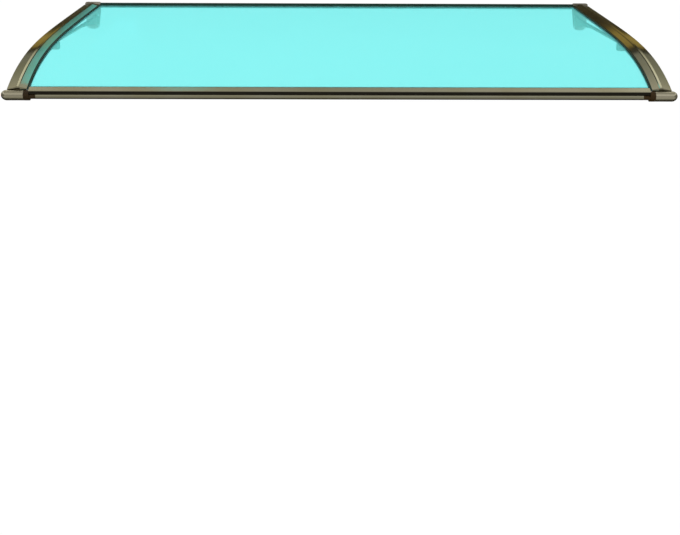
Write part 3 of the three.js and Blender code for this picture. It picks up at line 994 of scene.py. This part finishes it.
@dataclass
class Finishes:
    """All finishes of the canopy, made from the shared effects."""

    effects: SharedEffects
    bronze: SolidFinish = SolidFinish(
        name="bronze", base=srgb(156, 154, 134), drift=srgb(148, 144, 116),
        worn=srgb(186, 178, 154), dust_and_shade=srgb(170, 165, 150), metallic=0.95, roughness=0.09,
        roughness_spread=0.03, edge_reflection=(0.5, 0.48, 0.4),
    )
    # Its dark, strong film above -8 mm is painted shade on the brackets above the sheet, not dust;
    # rail_bronze keeps the same painted-shade film at a faint amount.
    cast_bronze: SolidFinish = SolidFinish(
        name="cast_bronze", base=srgb(228, 223, 210), drift=srgb(218, 212, 197),
        worn=srgb(236, 234, 226), dust_and_shade=srgb(104, 98, 80), metallic=0.2, roughness=0.36,
        roughness_spread=0.07, dust_and_shade_amount=2.4, dust_and_shade_on_steep=0.75, dust_and_shade_above=-8.0,
        fineness=1400.0,
    )
    rail_bronze: SolidFinish = replace(cast_bronze, name="rail_bronze", dust_and_shade_amount=0.08)
    nose_bronze: SolidFinish = SolidFinish(
        name="nose_bronze", base=srgb(186, 181, 160), drift=srgb(174, 168, 144),
        worn=srgb(212, 208, 190), dust_and_shade=srgb(180, 176, 160), metallic=0.95, roughness=0.18,
        roughness_spread=0.04, edge_reflection=(0.6, 0.56, 0.48),
    )
    # Dark brown that is partly the plastic collar's own colour and partly painted shade and reflection at
    # the bar's end beside the nose.
    collar_plastic: SolidFinish = SolidFinish(
        name="collar_plastic", base=srgb(54, 38, 12), drift=srgb(42, 30, 9), worn=srgb(96, 74, 46),
        dust_and_shade=srgb(110, 100, 84), metallic=0.0, roughness=0.4, roughness_spread=0.06, specular=0.15,
        fineness=1600.0,
    )
    # Near-black strip colour that is painted shade: it darkens the bar's groove as the shade in a deep
    # channel would.
    groove_painted_shade: SolidFinish = SolidFinish(
        name="groove_painted_shade", base=srgb(26, 23, 12), drift=srgb(34, 30, 17), worn=srgb(60, 54, 40),
        dust_and_shade=srgb(70, 66, 54), metallic=0.0, roughness=0.6, roughness_spread=0.08, specular=0.15,
        fineness=1600.0,
    )
    gasket_rubber: SolidFinish = SolidFinish(
        name="gasket_rubber", base=srgb(16, 46, 36), drift=srgb(26, 58, 44), worn=srgb(52, 84, 70),
        dust_and_shade=srgb(80, 106, 94), metallic=0.0, roughness=0.62, roughness_spread=0.1, specular=0.25,
        fineness=1800.0, relief=0.4,
    )
    # A pale teal that stands in for light: painted light on the rail's gaskets, which sit in the shaded
    # slot under the rail.
    rail_rubber: SolidFinish = SolidFinish(
        name="rail_rubber", base=srgb(92, 142, 134), drift=srgb(104, 152, 144),
        worn=srgb(120, 164, 156), dust_and_shade=srgb(130, 160, 152), metallic=0.0, roughness=0.6,
        roughness_spread=0.08, specular=0.25, fineness=1800.0, relief=0.4,
    )
    screw_steel: SolidFinish = SolidFinish(
        name="screw_steel", base=srgb(176, 176, 172), drift=srgb(156, 154, 148),
        worn=srgb(214, 214, 210), dust_and_shade=srgb(170, 166, 156), metallic=1.0, roughness=0.32,
        roughness_spread=0.08, fineness=3000.0,
    )
    sheet: SheetFinish = SheetFinish()
    made: dict[str, bpy.types.Material] = field(default_factory=dict)

    def get(self, finish: SolidFinish, run: Run) -> bpy.types.Material:
        """Gives a finish for one direction, and builds it the first time.

        Args:
            finish: The finish.
            run: The direction of the fine lines.

        Returns:
            The material.
        """
        key = f"{finish.name}_{run.name}"
        if key not in self.made:
            self.made[key] = finish.material(self.effects, run)
        return self.made[key]


# Sub-assemblies


@dataclass(frozen=True)
class Layout:
    """Places and levels that the sub-assemblies share."""

    line: CanopyLine = CanopyLine()
    fit_gap: float = 0.3
    outer_face: float = 750
    arm_width: float = 50
    sheet_thickness: float = 3
    gasket_thickness: float = 1.2
    nose_radius: float = 11.6
    nose_below: float = 13
    nose_ahead: float = 1
    nose_seam: float = 0.6

    @property
    def inner_face(self) -> float:
        """Inner face of the arm."""
        return self.outer_face - self.arm_width

    @property
    def arm_middle(self) -> float:
        """Middle of the arm."""
        return self.outer_face - self.arm_width / 2

    @property
    def cover_foot(self) -> float:
        """Level of the cover's foot."""
        return 2 * self.fit_gap + self.gasket_thickness

    @property
    def base_top(self) -> float:
        """Level of the arm base's top."""
        return -self.sheet_thickness - 2 * self.fit_gap - self.gasket_thickness

    @property
    def nose_centre(self) -> Pair:
        """The nose's middle line in the side view."""
        out = self.line.projection
        return out + self.nose_ahead, self.line.height(out) - self.nose_below

    def before_nose(self, limit: float) -> Callable[[float], float]:
        """Where each level of the arm stops, short of the nose.

        Args:
            limit: Distance out at which every level stops at the latest.

        Returns:
            The last station of a level.
        """
        reach = self.nose_radius + self.nose_seam
        step = 0.1

        def station(level: float) -> float:
            """The last station of one level.

            Args:
                level: Level above the sheet's top face.

            Returns:
                The station.
            """
            at = self.line.projection - 2 * reach
            while True:
                out, height = self.line.side_point(at, 0, level)
                apart = math.hypot(out - self.nose_centre[0], height - self.nose_centre[1])
                if out >= limit or apart <= reach:
                    return at
                at += step

        return station


@dataclass
class TintedSheet:
    """The curved tinted sheet."""

    layout: Layout
    half_width: float = 718
    back: float = 9
    front: float = 804.4
    corner_out: float = 795.5
    corner_across: float = 699.4
    corner_drop: float = 40
    steps: int = 96
    rim_facing: float = 0.6

    def build(self, finishes: Finishes) -> bpy.types.Object:
        """Builds the sheet and gives its rim the darker edge.

        Args:
            finishes: The finishes to dress it in.

        Returns:
            The sheet.
        """
        line = self.layout.line
        section = rectangle((-self.half_width, self.half_width), (-self.layout.sheet_thickness, 0))
        sheet = sweep("tinted_canopy_sheet", line, section, self.back, self.front, self.steps)
        level = line.height(self.corner_out)
        corners = end_blocks(
            "corner",
            (self.corner_across, self.layout.outer_face),
            (self.corner_out, self.front + self.corner_drop),
            (level - self.corner_drop, level + self.corner_drop),
        )
        combine(sheet, Joining.CUT, corners)
        shade(sheet)
        place(sheet, finishes.sheet.material(finishes.effects), "tinted_sheet", "canopy_sheet")
        sheet.data.materials.append(finishes.sheet.edge_material(finishes.effects))
        for face in sheet.data.polygons:
            across, _, up = (abs(share) for share in face.normal)
            face.material_index = int(across > self.rim_facing or up < self.rim_facing)
        return sheet


@dataclass
class Arm:
    """One side clamp: the roof-shaped cover, its base, and the gaskets that grip the sheet."""

    layout: Layout
    side: Side
    start: float = 9.3125
    cover_limit: float = 802
    gasket_end: float = 802
    gasket_lip: float = 5
    gasket_bead: float = 1
    gasket_edge: float = 719.5
    inner_rise: float = 1.3
    ridge_rise: float = 3.9
    ridge_width: float = 6
    ridge_bead: float = 1
    ridge_slant: float = 0.6
    outer_corner: float = 2.2
    outer_rounding: float = 5
    corner_drop: float = 0.8
    wall: float = 2
    base_depth: float = 5.2
    skirt_steps: int = 8
    section_steps: int = 3
    foot_rounding: float = 0.15
    step_rounding: float = 0.4
    valley_rounding: float = 0.2
    ridge_rounding: float = 0.35
    skirt_rounding: float = 0.3
    inside_rounding: float = 0.6
    gasket_roundings: tuple[float, float, float, float] = (0.2, 0.5, 0.7, 0.4)
    cover_rounding: float = 0.25
    gasket_rounding: float = 0.15

    def cover_section(self) -> Outline:
        """Section of the cover, with its edges rounded as drawn metal is.

        Returns:
            The section on the right-hand side.
        """
        lay = self.layout
        foot, bottom = lay.cover_foot, lay.base_top - self.base_depth
        corner = foot - self.outer_corner
        inner = lay.inner_face + self.gasket_lip
        outer, lining = lay.outer_face, lay.outer_face - self.wall
        ridge, bead = self.ridge_width / 2, self.ridge_bead
        near, far = lay.arm_middle - ridge, lay.arm_middle + ridge
        top = foot + self.ridge_rise
        under = top - self.wall
        fall = self.ridge_rise / (lay.arm_width / 2 - self.outer_corner - ridge - bead)
        steps = range(1, self.skirt_steps)
        skirt = [bottom + (corner - bottom) * step / self.skirt_steps for step in steps]
        corners: list[Corner] = [
            (inner, foot, self.foot_rounding),
            (inner, foot + self.inner_rise, self.step_rounding),
            (near - bead, top, self.valley_rounding),
            (near + self.ridge_slant, top + bead, self.ridge_rounding),
            (far, top + bead, self.ridge_rounding),
            (far + bead, top, self.ridge_rounding),
            (outer, foot - self.outer_corner * fall, self.outer_rounding),
            *[(outer, level, 0) for level in reversed(skirt)],
            (outer, bottom, self.skirt_rounding),
            (lining, bottom, self.skirt_rounding),
            *[(lining, level, 0) for level in skirt],
            (lining, corner, self.inside_rounding),
            (outer - self.outer_corner - self.corner_drop, foot - self.wall, self.step_rounding),
            (far + bead, under, 0),
            (near - bead, under, 0),
            (self.gasket_edge, foot, 0),
        ]
        return rounded(corners, self.section_steps)

    def gasket_section(self) -> Outline:
        """Section of the upper gasket, whose soft lip shows beside the cover.

        Returns:
            The section on the right-hand side.
        """
        lay, bead = self.layout, self.gasket_bead
        bottom = lay.fit_gap
        top = bottom + lay.gasket_thickness
        inner = lay.inner_face
        outer = inner + self.gasket_lip - lay.fit_gap
        at_foot, at_cover, at_lip, at_step = self.gasket_roundings
        return rounded(
            [
                (inner, bottom, at_foot),
                (self.gasket_edge, bottom, 0),
                (self.gasket_edge, top, 0),
                (outer, top, 0),
                (outer - lay.fit_gap, top + bead, at_cover),
                (inner + bead, top + bead, at_lip),
                (inner, top, at_step),
            ]
        )

    def carry(self, name: str, section: Outline, end: Ending) -> bpy.types.Object:
        """Carries a section along this arm, on its own side.

        Args:
            name: Name of the piece, to which the side is added.
            section: The section on the right-hand side.
            end: Where it ends, or where each level ends.

        Returns:
            The piece.
        """
        mirrored = [(self.side.sign * across, level) for across, level in section]
        return sweep(f"{name}_{self.side.value}", self.layout.line, mirrored, self.start, end)

    def build(self, finishes: Finishes) -> None:
        """Builds the arm's pieces and dresses the solids that stay.

        Args:
            finishes: The finishes to dress them in.
        """
        name = self.side.value
        bronze = finishes.get(finishes.bronze, Run.OUTWARD)
        rubber = finishes.get(finishes.gasket_rubber, Run.OUTWARD)
        end = self.layout.before_nose(self.cover_limit)
        cover = soften(self.carry("roof_cover", self.cover_section(), end), self.cover_rounding)
        place(cover, bronze, "bronze", f"arm_cover_{name}")
        gasket = self.carry("lip_gasket", self.gasket_section(), self.gasket_end)
        soften(gasket, self.gasket_rounding)
        place(gasket, rubber, "gasket_rubber", f"arm_gasket_upper_{name}")
        dress_node(f"arm_gasket_lower_{name}", rubber)
        dress_node(f"arm_base_{name}", bronze)


@dataclass
class FrontBar:
    """The bar at the nose: a lip over the sheet, a groove and a round bead below it."""

    layout: Layout
    half_length: float = 699.7
    back: float = 14
    ahead: float = 11.5
    below: float = 20.7
    strip_below: float = 3
    groove_depth: float = 3
    bead_radius: float = 6.0
    slot_reach: float = 6
    slot_mouth: float = 4.5
    flange_reach: float = 16
    lip_thickness: float = 2
    corner: float = 2
    wall: float = 2.2
    notch_start: float = 684.7
    notch_top: float = -9.4
    strip_play: float = 0.1
    strip_thickness: float = 0.7
    fine_rounding: float = 0.3
    mouth_rounding: float = 0.5
    front_rounding: float = 2.4
    groove_rounding: float = 0.35
    strip_corner: float = 0.2
    rounding_steps: int = 5
    bead_steps: int = 16
    strip_steps: int = 3
    edge_rounding: float = 0.2
    strip_rounding: float = 0.1
    cut_margin: float = 3

    @property
    def level(self) -> float:
        """Height of the sheet's top face at the bar."""
        return self.layout.line.height(self.layout.line.projection)

    @property
    def groove_floor(self) -> float:
        """How far out the groove's floor lies."""
        return self.layout.line.projection + self.ahead - self.groove_depth

    def outline(self) -> Outline:
        """The bar's side view.

        Returns:
            Points as distance out and height.
        """
        lay, line = self.layout, self.layout.line
        station = line.projection
        floor, front, back = self.groove_floor, station + self.ahead, station - self.back
        bottom, strip = self.level - self.below, self.level - self.strip_below
        slot_top, lip_top = lay.cover_foot, lay.cover_foot + self.lip_thickness
        flange_top, under = lay.base_top, lay.base_top - self.wall
        radius, fine = self.bead_radius, self.fine_rounding
        bead = (front - radius, bottom + radius)
        bead_start = math.acos((floor - bead[0]) / radius)

        def on_sheet(along: float, above: float, rounding: float) -> Corner:
            """A corner placed along the sheet's own direction."""
            return *line.side_point(station, along, above), rounding

        upper = rounded(
            [
                on_sheet(self.slot_reach, slot_top, fine),
                on_sheet(-self.slot_mouth, slot_top, fine),
                on_sheet(-self.slot_mouth, lip_top, self.mouth_rounding),
                (front, line.height_on_level(station, lip_top, front), self.front_rounding),
                (front, strip, self.groove_rounding),
                (floor, strip, fine),
                (floor, bead[1] + radius, 0),
            ],
            self.rounding_steps,
        )[:-1]
        round_bead = arc(bead, radius, bead_start, -math.pi / 2, self.bead_steps)
        lower = rounded(
            [
                (*round_bead[-1], 0),
                (back, bottom, self.corner),
                (back, line.height_on_level(station, under, back), fine),
                on_sheet(-self.flange_reach, under, fine),
                on_sheet(-self.flange_reach, flange_top, fine),
                on_sheet(self.slot_reach, flange_top, 0),
                on_sheet(self.slot_reach, slot_top, 0),
            ],
            self.rounding_steps,
        )[1:-1]
        return upper + round_bead + lower

    def build(self, finishes: Finishes) -> None:
        """Builds the bar with its notched ends, and a dark strip in its groove that is painted shade.

        Args:
            finishes: The finishes to dress them in.
        """
        station, margin = self.layout.line.projection, self.cut_margin
        notches = end_blocks(
            "notch",
            (self.notch_start, self.layout.outer_face),
            (station - self.back - margin, station + self.ahead + margin),
            (self.level - self.below - margin, self.level + self.notch_top),
        )
        bar = extrude("front_clamp_bar", self.outline(), -self.half_length, self.half_length)
        soften(combine(bar, Joining.CUT, notches), self.edge_rounding)
        place(bar, finishes.get(finishes.bronze, Run.ALONG_WALL), "bronze", "front_bar")
        # The dark strip in the groove stands in for the groove's shade: painted shade.
        inner = self.groove_floor + self.strip_play
        outer = inner + self.strip_thickness
        top, bottom = self.level - self.strip_below - self.strip_play, self.level + self.notch_top
        corner = self.strip_corner
        corners = [(inner, bottom, 0), (outer, bottom, corner), (outer, top, corner), (inner, top, 0)]
        outline = rounded(corners, self.strip_steps)
        strip = extrude("groove_shade_strip", outline, -self.half_length, self.half_length)
        soften(strip, self.strip_rounding)
        place(strip, finishes.get(finishes.groove_painted_shade, Run.ALONG_WALL), "collar_plastic")


@dataclass
class NoseCap:
    """The domed cap at one end of the front bar."""

    layout: Layout
    side: Side
    start: float = 712
    end: float = 764
    dome: float = 13
    dome_steps: int = 18
    rim: float = 0.4
    tongue_across: Pair = (713.8, 744.9)
    tongue_levels: Pair = (-10.0, -7.1)
    tongue_reach: Pair = (755.0, 796.8)
    tongue_steps: int = 12
    sharp_angle: float = 40

    def profile(self) -> Outline:
        """Radius and place along the bar, from the flat end to the tip of the dome.

        Returns:
            The points.
        """
        radius = self.layout.nose_radius
        outline = [(0.0, self.start), (radius - self.rim, self.start), (radius, self.start + self.rim)]
        for step in range(self.dome_steps):
            angle = step / self.dome_steps * math.pi / 2
            along = self.end - self.dome * (1 - math.sin(angle))
            outline.append((radius * math.cos(angle), along))
        return [*outline, (0.0, self.end)]

    def tongue(self) -> bpy.types.Object:
        """The flat tongue that runs back from the cap into the arm's channel.

        Returns:
            The tongue.
        """
        inner, outer = (self.side.sign * across for across in self.tongue_across)
        section = rectangle((inner, outer), self.tongue_levels)
        name = f"tongue_{self.side.value}"
        return sweep(name, self.layout.line, section, *self.tongue_reach, self.tongue_steps)

    def build(self, finishes: Finishes) -> bpy.types.Object:
        """Turns the cap about the bar's direction and joins the tongue to it.

        Args:
            finishes: The finishes to dress it in.

        Returns:
            The cap.
        """
        out, height = self.layout.nose_centre
        along_bar = Matrix.Rotation(self.side.sign * math.pi / 2, 4, "Y")
        axis = Matrix.Translation((0, -out, height)) @ along_bar
        name = self.side.value
        cap = turned(f"domed_nose_{name}", self.profile(), axis)
        combine(cap, Joining.MERGE, [self.tongue()])
        shade(cap, self.sharp_angle)
        material = finishes.get(finishes.nose_bronze, Run.NONE)
        return place(cap, material, "nose_bronze", f"nose_cap_{name}")


@dataclass
class CarriedSolids:
    """Solids whose own shape is right, which get a finish. The larger ones get softened edges."""

    edge: float = 0.5
    edge_steps: int = 3
    weld_within: float = 0.01
    flat_within: float = 1.0

    def build(self, finishes: Finishes) -> None:
        """Dresses each solid by what its name starts with.

        Args:
            finishes: The finishes to dress them in.
        """
        plain, along = Run.NONE, Run.ALONG_WALL
        looks = {
            "wall_bracket": finishes.get(finishes.cast_bronze, plain),
            "wall_rail": finishes.get(finishes.rail_bronze, along),
            "bar_collar": finishes.get(finishes.collar_plastic, plain),
            "wall_seal": finishes.get(finishes.gasket_rubber, along),
            "bar_gasket": finishes.get(finishes.gasket_rubber, along),
            "rail_gasket": finishes.get(finishes.rail_rubber, along),
            "arm_screw": finishes.get(finishes.screw_steel, plain),
            "bar_screw": finishes.get(finishes.screw_steel, plain),
        }
        softened = ("wall_bracket", "bar_collar")
        for name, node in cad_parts.items():
            for start, material in looks.items():
                if name.startswith(start):
                    dress_node(name, material)
            if name.startswith(softened):
                self.soften_solid(node)

    def soften_solid(self, node: bpy.types.Object) -> None:
        """Clears the inner lines from a solid's flat faces and rounds its sharp edges.

        Args:
            node: The solid.
        """
        weld = node.modifiers.new("weld", "WELD")
        weld.merge_threshold = self.weld_within * MM
        flat = node.modifiers.new("flat_faces", "DECIMATE")
        flat.decimate_type = "DISSOLVE"
        flat.angle_limit = math.radians(self.flat_within)
        round_edges(node, self.edge, self.edge_steps)


# Studio


@dataclass(frozen=True)
class MirrorCard:
    """A flat card that only mirrored rays meet, shaded in bands."""

    name: str
    faces: Axis
    at: float
    outline: Outline
    bands: Bands
    bands_along: Axis = Axis.UP
    blotches: float = 0.0
    blotch_scale: float = 5.0
    blotch_detail: float = 3.0
    lean: float = 0.0
    glow: float = 1.0

    def build(self) -> bpy.types.Object:
        """Builds the card and hides it from all other rays.

        Returns:
            The card.
        """
        order = list(Axis).index(self.faces)
        card = flat_face(self.name, [(*pair[:order], self.at, *pair[order:]) for pair in self.outline])
        card.data.materials.append(self.material())
        for ray in ("camera", "diffuse", "transmission", "volume_scatter", "shadow"):
            setattr(card, f"visible_{ray}", False)
        return card

    def material(self) -> bpy.types.Material:
        """Shades the card in its bands.

        Returns:
            The material.
        """
        material, graph, shader = start_material(self.name)
        low, high = self.bands[0][0], self.bands[-1][0]
        height = graph.part(graph.position, self.bands_along)
        if self.lean:
            aside = graph.math("ABSOLUTE", graph.part(graph.position, Axis.ACROSS))
            height = graph.math("ADD", height, graph.math("MULTIPLY", aside, self.lean))
        if self.blotches:
            noise = graph.noise(graph.position, self.blotch_scale, self.blotch_detail)
            shift = graph.math("MULTIPLY", graph.math("SUBTRACT", noise, 0.5), self.blotches)
            height = graph.math("ADD", height, shift)
        ramp = graph.node("ShaderNodeValToRGB")
        graph.feed(ramp.inputs[0], graph.between(height, (low, high)))
        stops = ramp.color_ramp.elements
        while len(stops) < len(self.bands):
            stops.new(1.0)
        for stop, (height_at, colour) in zip(stops, self.bands):
            stop.position = (height_at - low) / (high - low)
            stop.color = (*colour, 1)
        graph.fill(
            shader,
            Base_Color=(0.0, 0.0, 0.0),
            Specular_IOR_Level=0,
            Emission_Color=ramp.outputs["Color"],
            Emission_Strength=self.glow,
        )
        return material


@dataclass(frozen=True)
class MirroredRoom:
    """The cards round the canopy, which stand for what its metal mirrors."""

    reach: float = 7.0
    behind: float = 1.5
    before_back: float = 0.05
    in_front: float = -5.0
    below: float = -1.0
    above: float = 6.0
    aside: float = 4.0
    side_top: float = 1.6
    back_lean: float = 1.14
    back_blotches: float = 0.08
    ridge_glow: float = 1.75
    tint_glow: float = 1.9
    tint_start: float = 0.36

    @property
    def back_bands(self) -> Bands:
        """The olive, brown, gold, dark and grey bands that the arms mirror.

        Returns:
            Each height and its colour.
        """
        olive, brown = srgb(96, 90, 66), srgb(70, 60, 32)
        gold, line, grey = srgb(232, 204, 116), srgb(12, 8, 0), srgb(182, 184, 182)
        return (
            (self.below, olive),
            (1.70, olive),
            (1.80, brown),
            (1.96, brown),
            (2.06, gold),
            (2.53, gold),
            (2.55, line),
            (2.83, line),
            (2.85, grey),
            (4.6, srgb(206, 208, 202)),
            (7.0, srgb(246, 242, 234)),
        )

    def walls(self) -> list[MirrorCard]:
        """The large cards: behind, below, above and in front.

        Returns:
            The four cards.
        """
        upright = rectangle((-self.reach, self.reach), (self.below, self.above))
        flat = rectangle((-self.reach, self.reach), (self.in_front, self.behind))
        ground = (
            (self.in_front, srgb(190, 188, 182)),
            (-1.7, srgb(182, 180, 172)),
            (-0.95, srgb(56, 54, 44)),
            (self.behind, srgb(50, 48, 40)),
        )
        sky = ((self.in_front, srgb(196, 194, 188)), (self.behind, srgb(150, 148, 140)))
        front = (
            (self.below, srgb(176, 174, 170)),
            (0.7, srgb(178, 176, 172)),
            (2.0, srgb(228, 226, 222)),
            (self.above, srgb(210, 208, 202)),
        )
        return [
            MirrorCard(
                "card_behind",
                Axis.OUT,
                self.behind,
                upright,
                self.back_bands,
                blotches=self.back_blotches,
                lean=self.back_lean,
            ),
            MirrorCard("card_below", Axis.UP, self.below, flat, ground, bands_along=Axis.OUT),
            MirrorCard("card_above", Axis.UP, self.above, flat, sky, bands_along=Axis.OUT),
            MirrorCard("card_in_front", Axis.OUT, self.in_front, upright, front),
        ]

    def side_cards(self, side: Side) -> list[MirrorCard]:
        """The card beside the canopy, and the light one that its arm's ridge mirrors.

        Args:
            side: The side.

        Returns:
            The two cards.
        """
        wall = rectangle((self.in_front, self.behind), (self.below, self.side_top))
        shades = ((self.below, srgb(110, 108, 102)), (self.side_top, srgb(136, 134, 128)))
        strip = [(1.25, 1.22), (1.58, 1.22), (2.2, 3.1), (2.6, 4.35), (2.2, 4.35), (1.75, 3.1)]
        ridge = [(side.sign * across, up) for across, up in strip]
        light = ((1.22, srgb(206, 206, 200)), (2.2, srgb(255, 255, 250)))
        near = self.behind - self.before_back
        return [
            MirrorCard(f"card_{side.value}", Axis.ACROSS, self.aside * side.sign, wall, shades),
            MirrorCard(
                f"ridge_light_{side.value}", Axis.OUT, near, ridge, light, glow=self.ridge_glow
            ),
        ]

    def middle_cards(self) -> list[MirrorCard]:
        """The tint that the left arm's inner slope mirrors, and the shade on the arms' flanks.

        Returns:
            The two cards.
        """
        inner_edge = [
            (-0.967, 0.45),
            (-0.997, 0.52),
            (-1.064, 0.63),
            (-1.117, 0.95),
            (-1.138, 1.43),
            (-1.161, 2.13),
            (-1.208, 3.38),
            (-1.252, 4.4),
        ]
        tint_across, shade_across, shade_heights = -0.88, 0.85, (1.35, 3.7)
        bottom, top = inner_edge[0][1], inner_edge[-1][1]
        slope = [(tint_across, bottom), *inner_edge, (tint_across, top)]
        tint = ((self.tint_start, srgb(122, 229, 252)), (top, srgb(124, 231, 246)))
        flank = rectangle((-shade_across, shade_across), shade_heights)
        shade_bands = tuple((height, srgb(40, 36, 22)) for height in shade_heights)
        near = self.behind - self.before_back
        return [
            MirrorCard("slope_tint_left", Axis.OUT, near, slope, tint, glow=self.tint_glow),
            MirrorCard("flank_shade", Axis.OUT, near, flank, shade_bands),
        ]

    def build(self) -> None:
        """Builds all cards."""
        beside = [card for side in Side for card in self.side_cards(side)]
        for card in [*self.walls(), *beside, *self.middle_cards()]:
            card.build()


@dataclass
class Studio:
    """Camera, floor, light and the cards that the metal mirrors."""

    camera_at: Corner = (-0.0325, -3.0518, 0.17365)
    lens: float = 52.52
    sensor: float = 36.0
    clip: Pair = (0.05, 200.0)
    pitch: float = 18.019
    yaw: float = 0.823
    roll: float = 0.240
    floor_height: float = -2.2
    floor_reach: float = 70.0
    floor_shade: float = 0.06
    floor_glow: float = 1.04
    floor_grey: float = 0.86
    floor_roughness: float = 0.9
    floor_specular: float = 0.1
    light_level: float = 0.7

    def make_camera(self) -> None:
        """Places the camera at the photograph's viewing angle."""
        pitch, yaw, roll = (math.radians(angle) for angle in (self.pitch, self.yaw, self.roll))
        ahead = Vector(
            (math.sin(yaw) * math.cos(pitch), math.cos(yaw) * math.cos(pitch), -math.sin(pitch))
        )
        right = ahead.cross(Vector((0, 0, 1))).normalized()
        up = right.cross(ahead)
        level_right = right * math.cos(roll) + up * math.sin(roll)
        level_up = up * math.cos(roll) - right * math.sin(roll)
        data = bpy.data.cameras.new("photo_camera")
        data.lens = self.lens
        data.sensor_width = self.sensor
        data.sensor_fit = "HORIZONTAL"
        data.clip_start, data.clip_end = self.clip
        camera = bpy.data.objects.new("photo_camera", data)
        turn = Matrix((level_right, level_up, -ahead)).transposed().to_4x4()
        camera.matrix_world = Matrix.Translation(self.camera_at) @ turn
        bpy.context.scene.collection.objects.link(camera)
        bpy.context.scene.camera = camera

    @staticmethod
    def seen_rays(graph: Graph) -> Any:
        """Share that is 1 for rays that show the background: seen, mirrored or through.

        Args:
            graph: The graph to work in.

        Returns:
            The socket of the share.
        """
        rays = graph.node("ShaderNodeLightPath").outputs
        passed = graph.math("MAXIMUM", rays["Is Glossy Ray"], rays["Is Transmission Ray"])
        return graph.math("MAXIMUM", rays["Is Camera Ray"], passed)

    def make_world(self) -> None:
        """Soft even light from all round, with a white background."""
        world = bpy.data.worlds.new("soft_room")
        world.use_nodes = True
        world.node_tree.nodes.clear()
        graph = Graph(world.node_tree)
        white = (1.0, 1.0, 1.0)
        lighting, shown = (
            graph.fill(graph.node("ShaderNodeBackground"), Color=white, Strength=strength).outputs[0]
            for strength in (self.light_level, 1)
        )
        surface = graph.blend(self.seen_rays(graph), lighting, shown)
        graph.fill(graph.node("ShaderNodeOutputWorld"), Surface=surface)
        bpy.context.scene.world = world

    def make_floor(self) -> None:
        """Plain pale floor, far below, that keeps a soft shadow."""
        span = (-self.floor_reach, self.floor_reach)
        corners = [(x, y, self.floor_height) for x, y in rectangle(span, span)]
        floor = flat_face("pale_floor", corners)
        material, graph, shader = start_material("pale_floor")
        graph.fill(
            shader,
            Base_Color=(self.floor_grey, self.floor_grey, self.floor_grey),
            Roughness=self.floor_roughness,
            Specular_IOR_Level=self.floor_specular,
        )
        white = graph.fill(graph.node("ShaderNodeEmission"), Strength=self.floor_glow)
        share = graph.math("MULTIPLY", self.seen_rays(graph), 1 - self.floor_shade)
        surface = graph.blend(share, shader.outputs[0], white.outputs[0])
        graph.fill(material.node_tree.nodes["Material Output"], Surface=surface)
        floor.data.materials.append(material)

    @staticmethod
    def lamp(name: str, at: Corner, size: float, watts: float) -> None:
        """Adds a soft square lamp that faces the canopy's middle.

        Args:
            name: Name of the lamp.
            at: Its place in metres.
            size: Its side in metres.
            watts: Its power.
        """
        middle = Vector((0, -0.4, 0))
        data = bpy.data.lights.new(name, "AREA")
        data.size = size
        data.energy = watts
        lamp = bpy.data.objects.new(name, data)
        lamp.location = at
        lamp.rotation_euler = (middle - Vector(at)).to_track_quat("-Z", "Y").to_euler()
        lamp.visible_camera = False
        lamp.visible_glossy = False
        lamp.visible_transmission = False
        bpy.context.scene.collection.objects.link(lamp)

    def build(self) -> None:
        """Builds everything but the camera."""
        self.make_world()
        self.make_floor()
        self.lamp("main_lamp", at=(-1.2, -2.2, 2.6), size=2.4, watts=34)
        self.lamp("back_lamp", at=(1.6, 1.8, 2.2), size=2.0, watts=12)
        MirroredRoom().build()


def main() -> None:
    """Builds the whole scene: camera, studio and each sub-assembly in order."""
    logging.basicConfig(level=logging.INFO, format="%(name)s %(message)s")
    bpy.context.scene.view_settings.view_transform = "Standard"
    studio = Studio()
    studio.make_camera()
    studio.build()
    finishes = Finishes(SharedEffects())
    layout = Layout()
    TintedSheet(layout).build(finishes)
    for side in Side:
        Arm(layout, side).build(finishes)
        NoseCap(layout, side).build(finishes)
    FrontBar(layout).build(finishes)
    CarriedSolids().build(finishes)


if __name__ == "__main__":
    main()
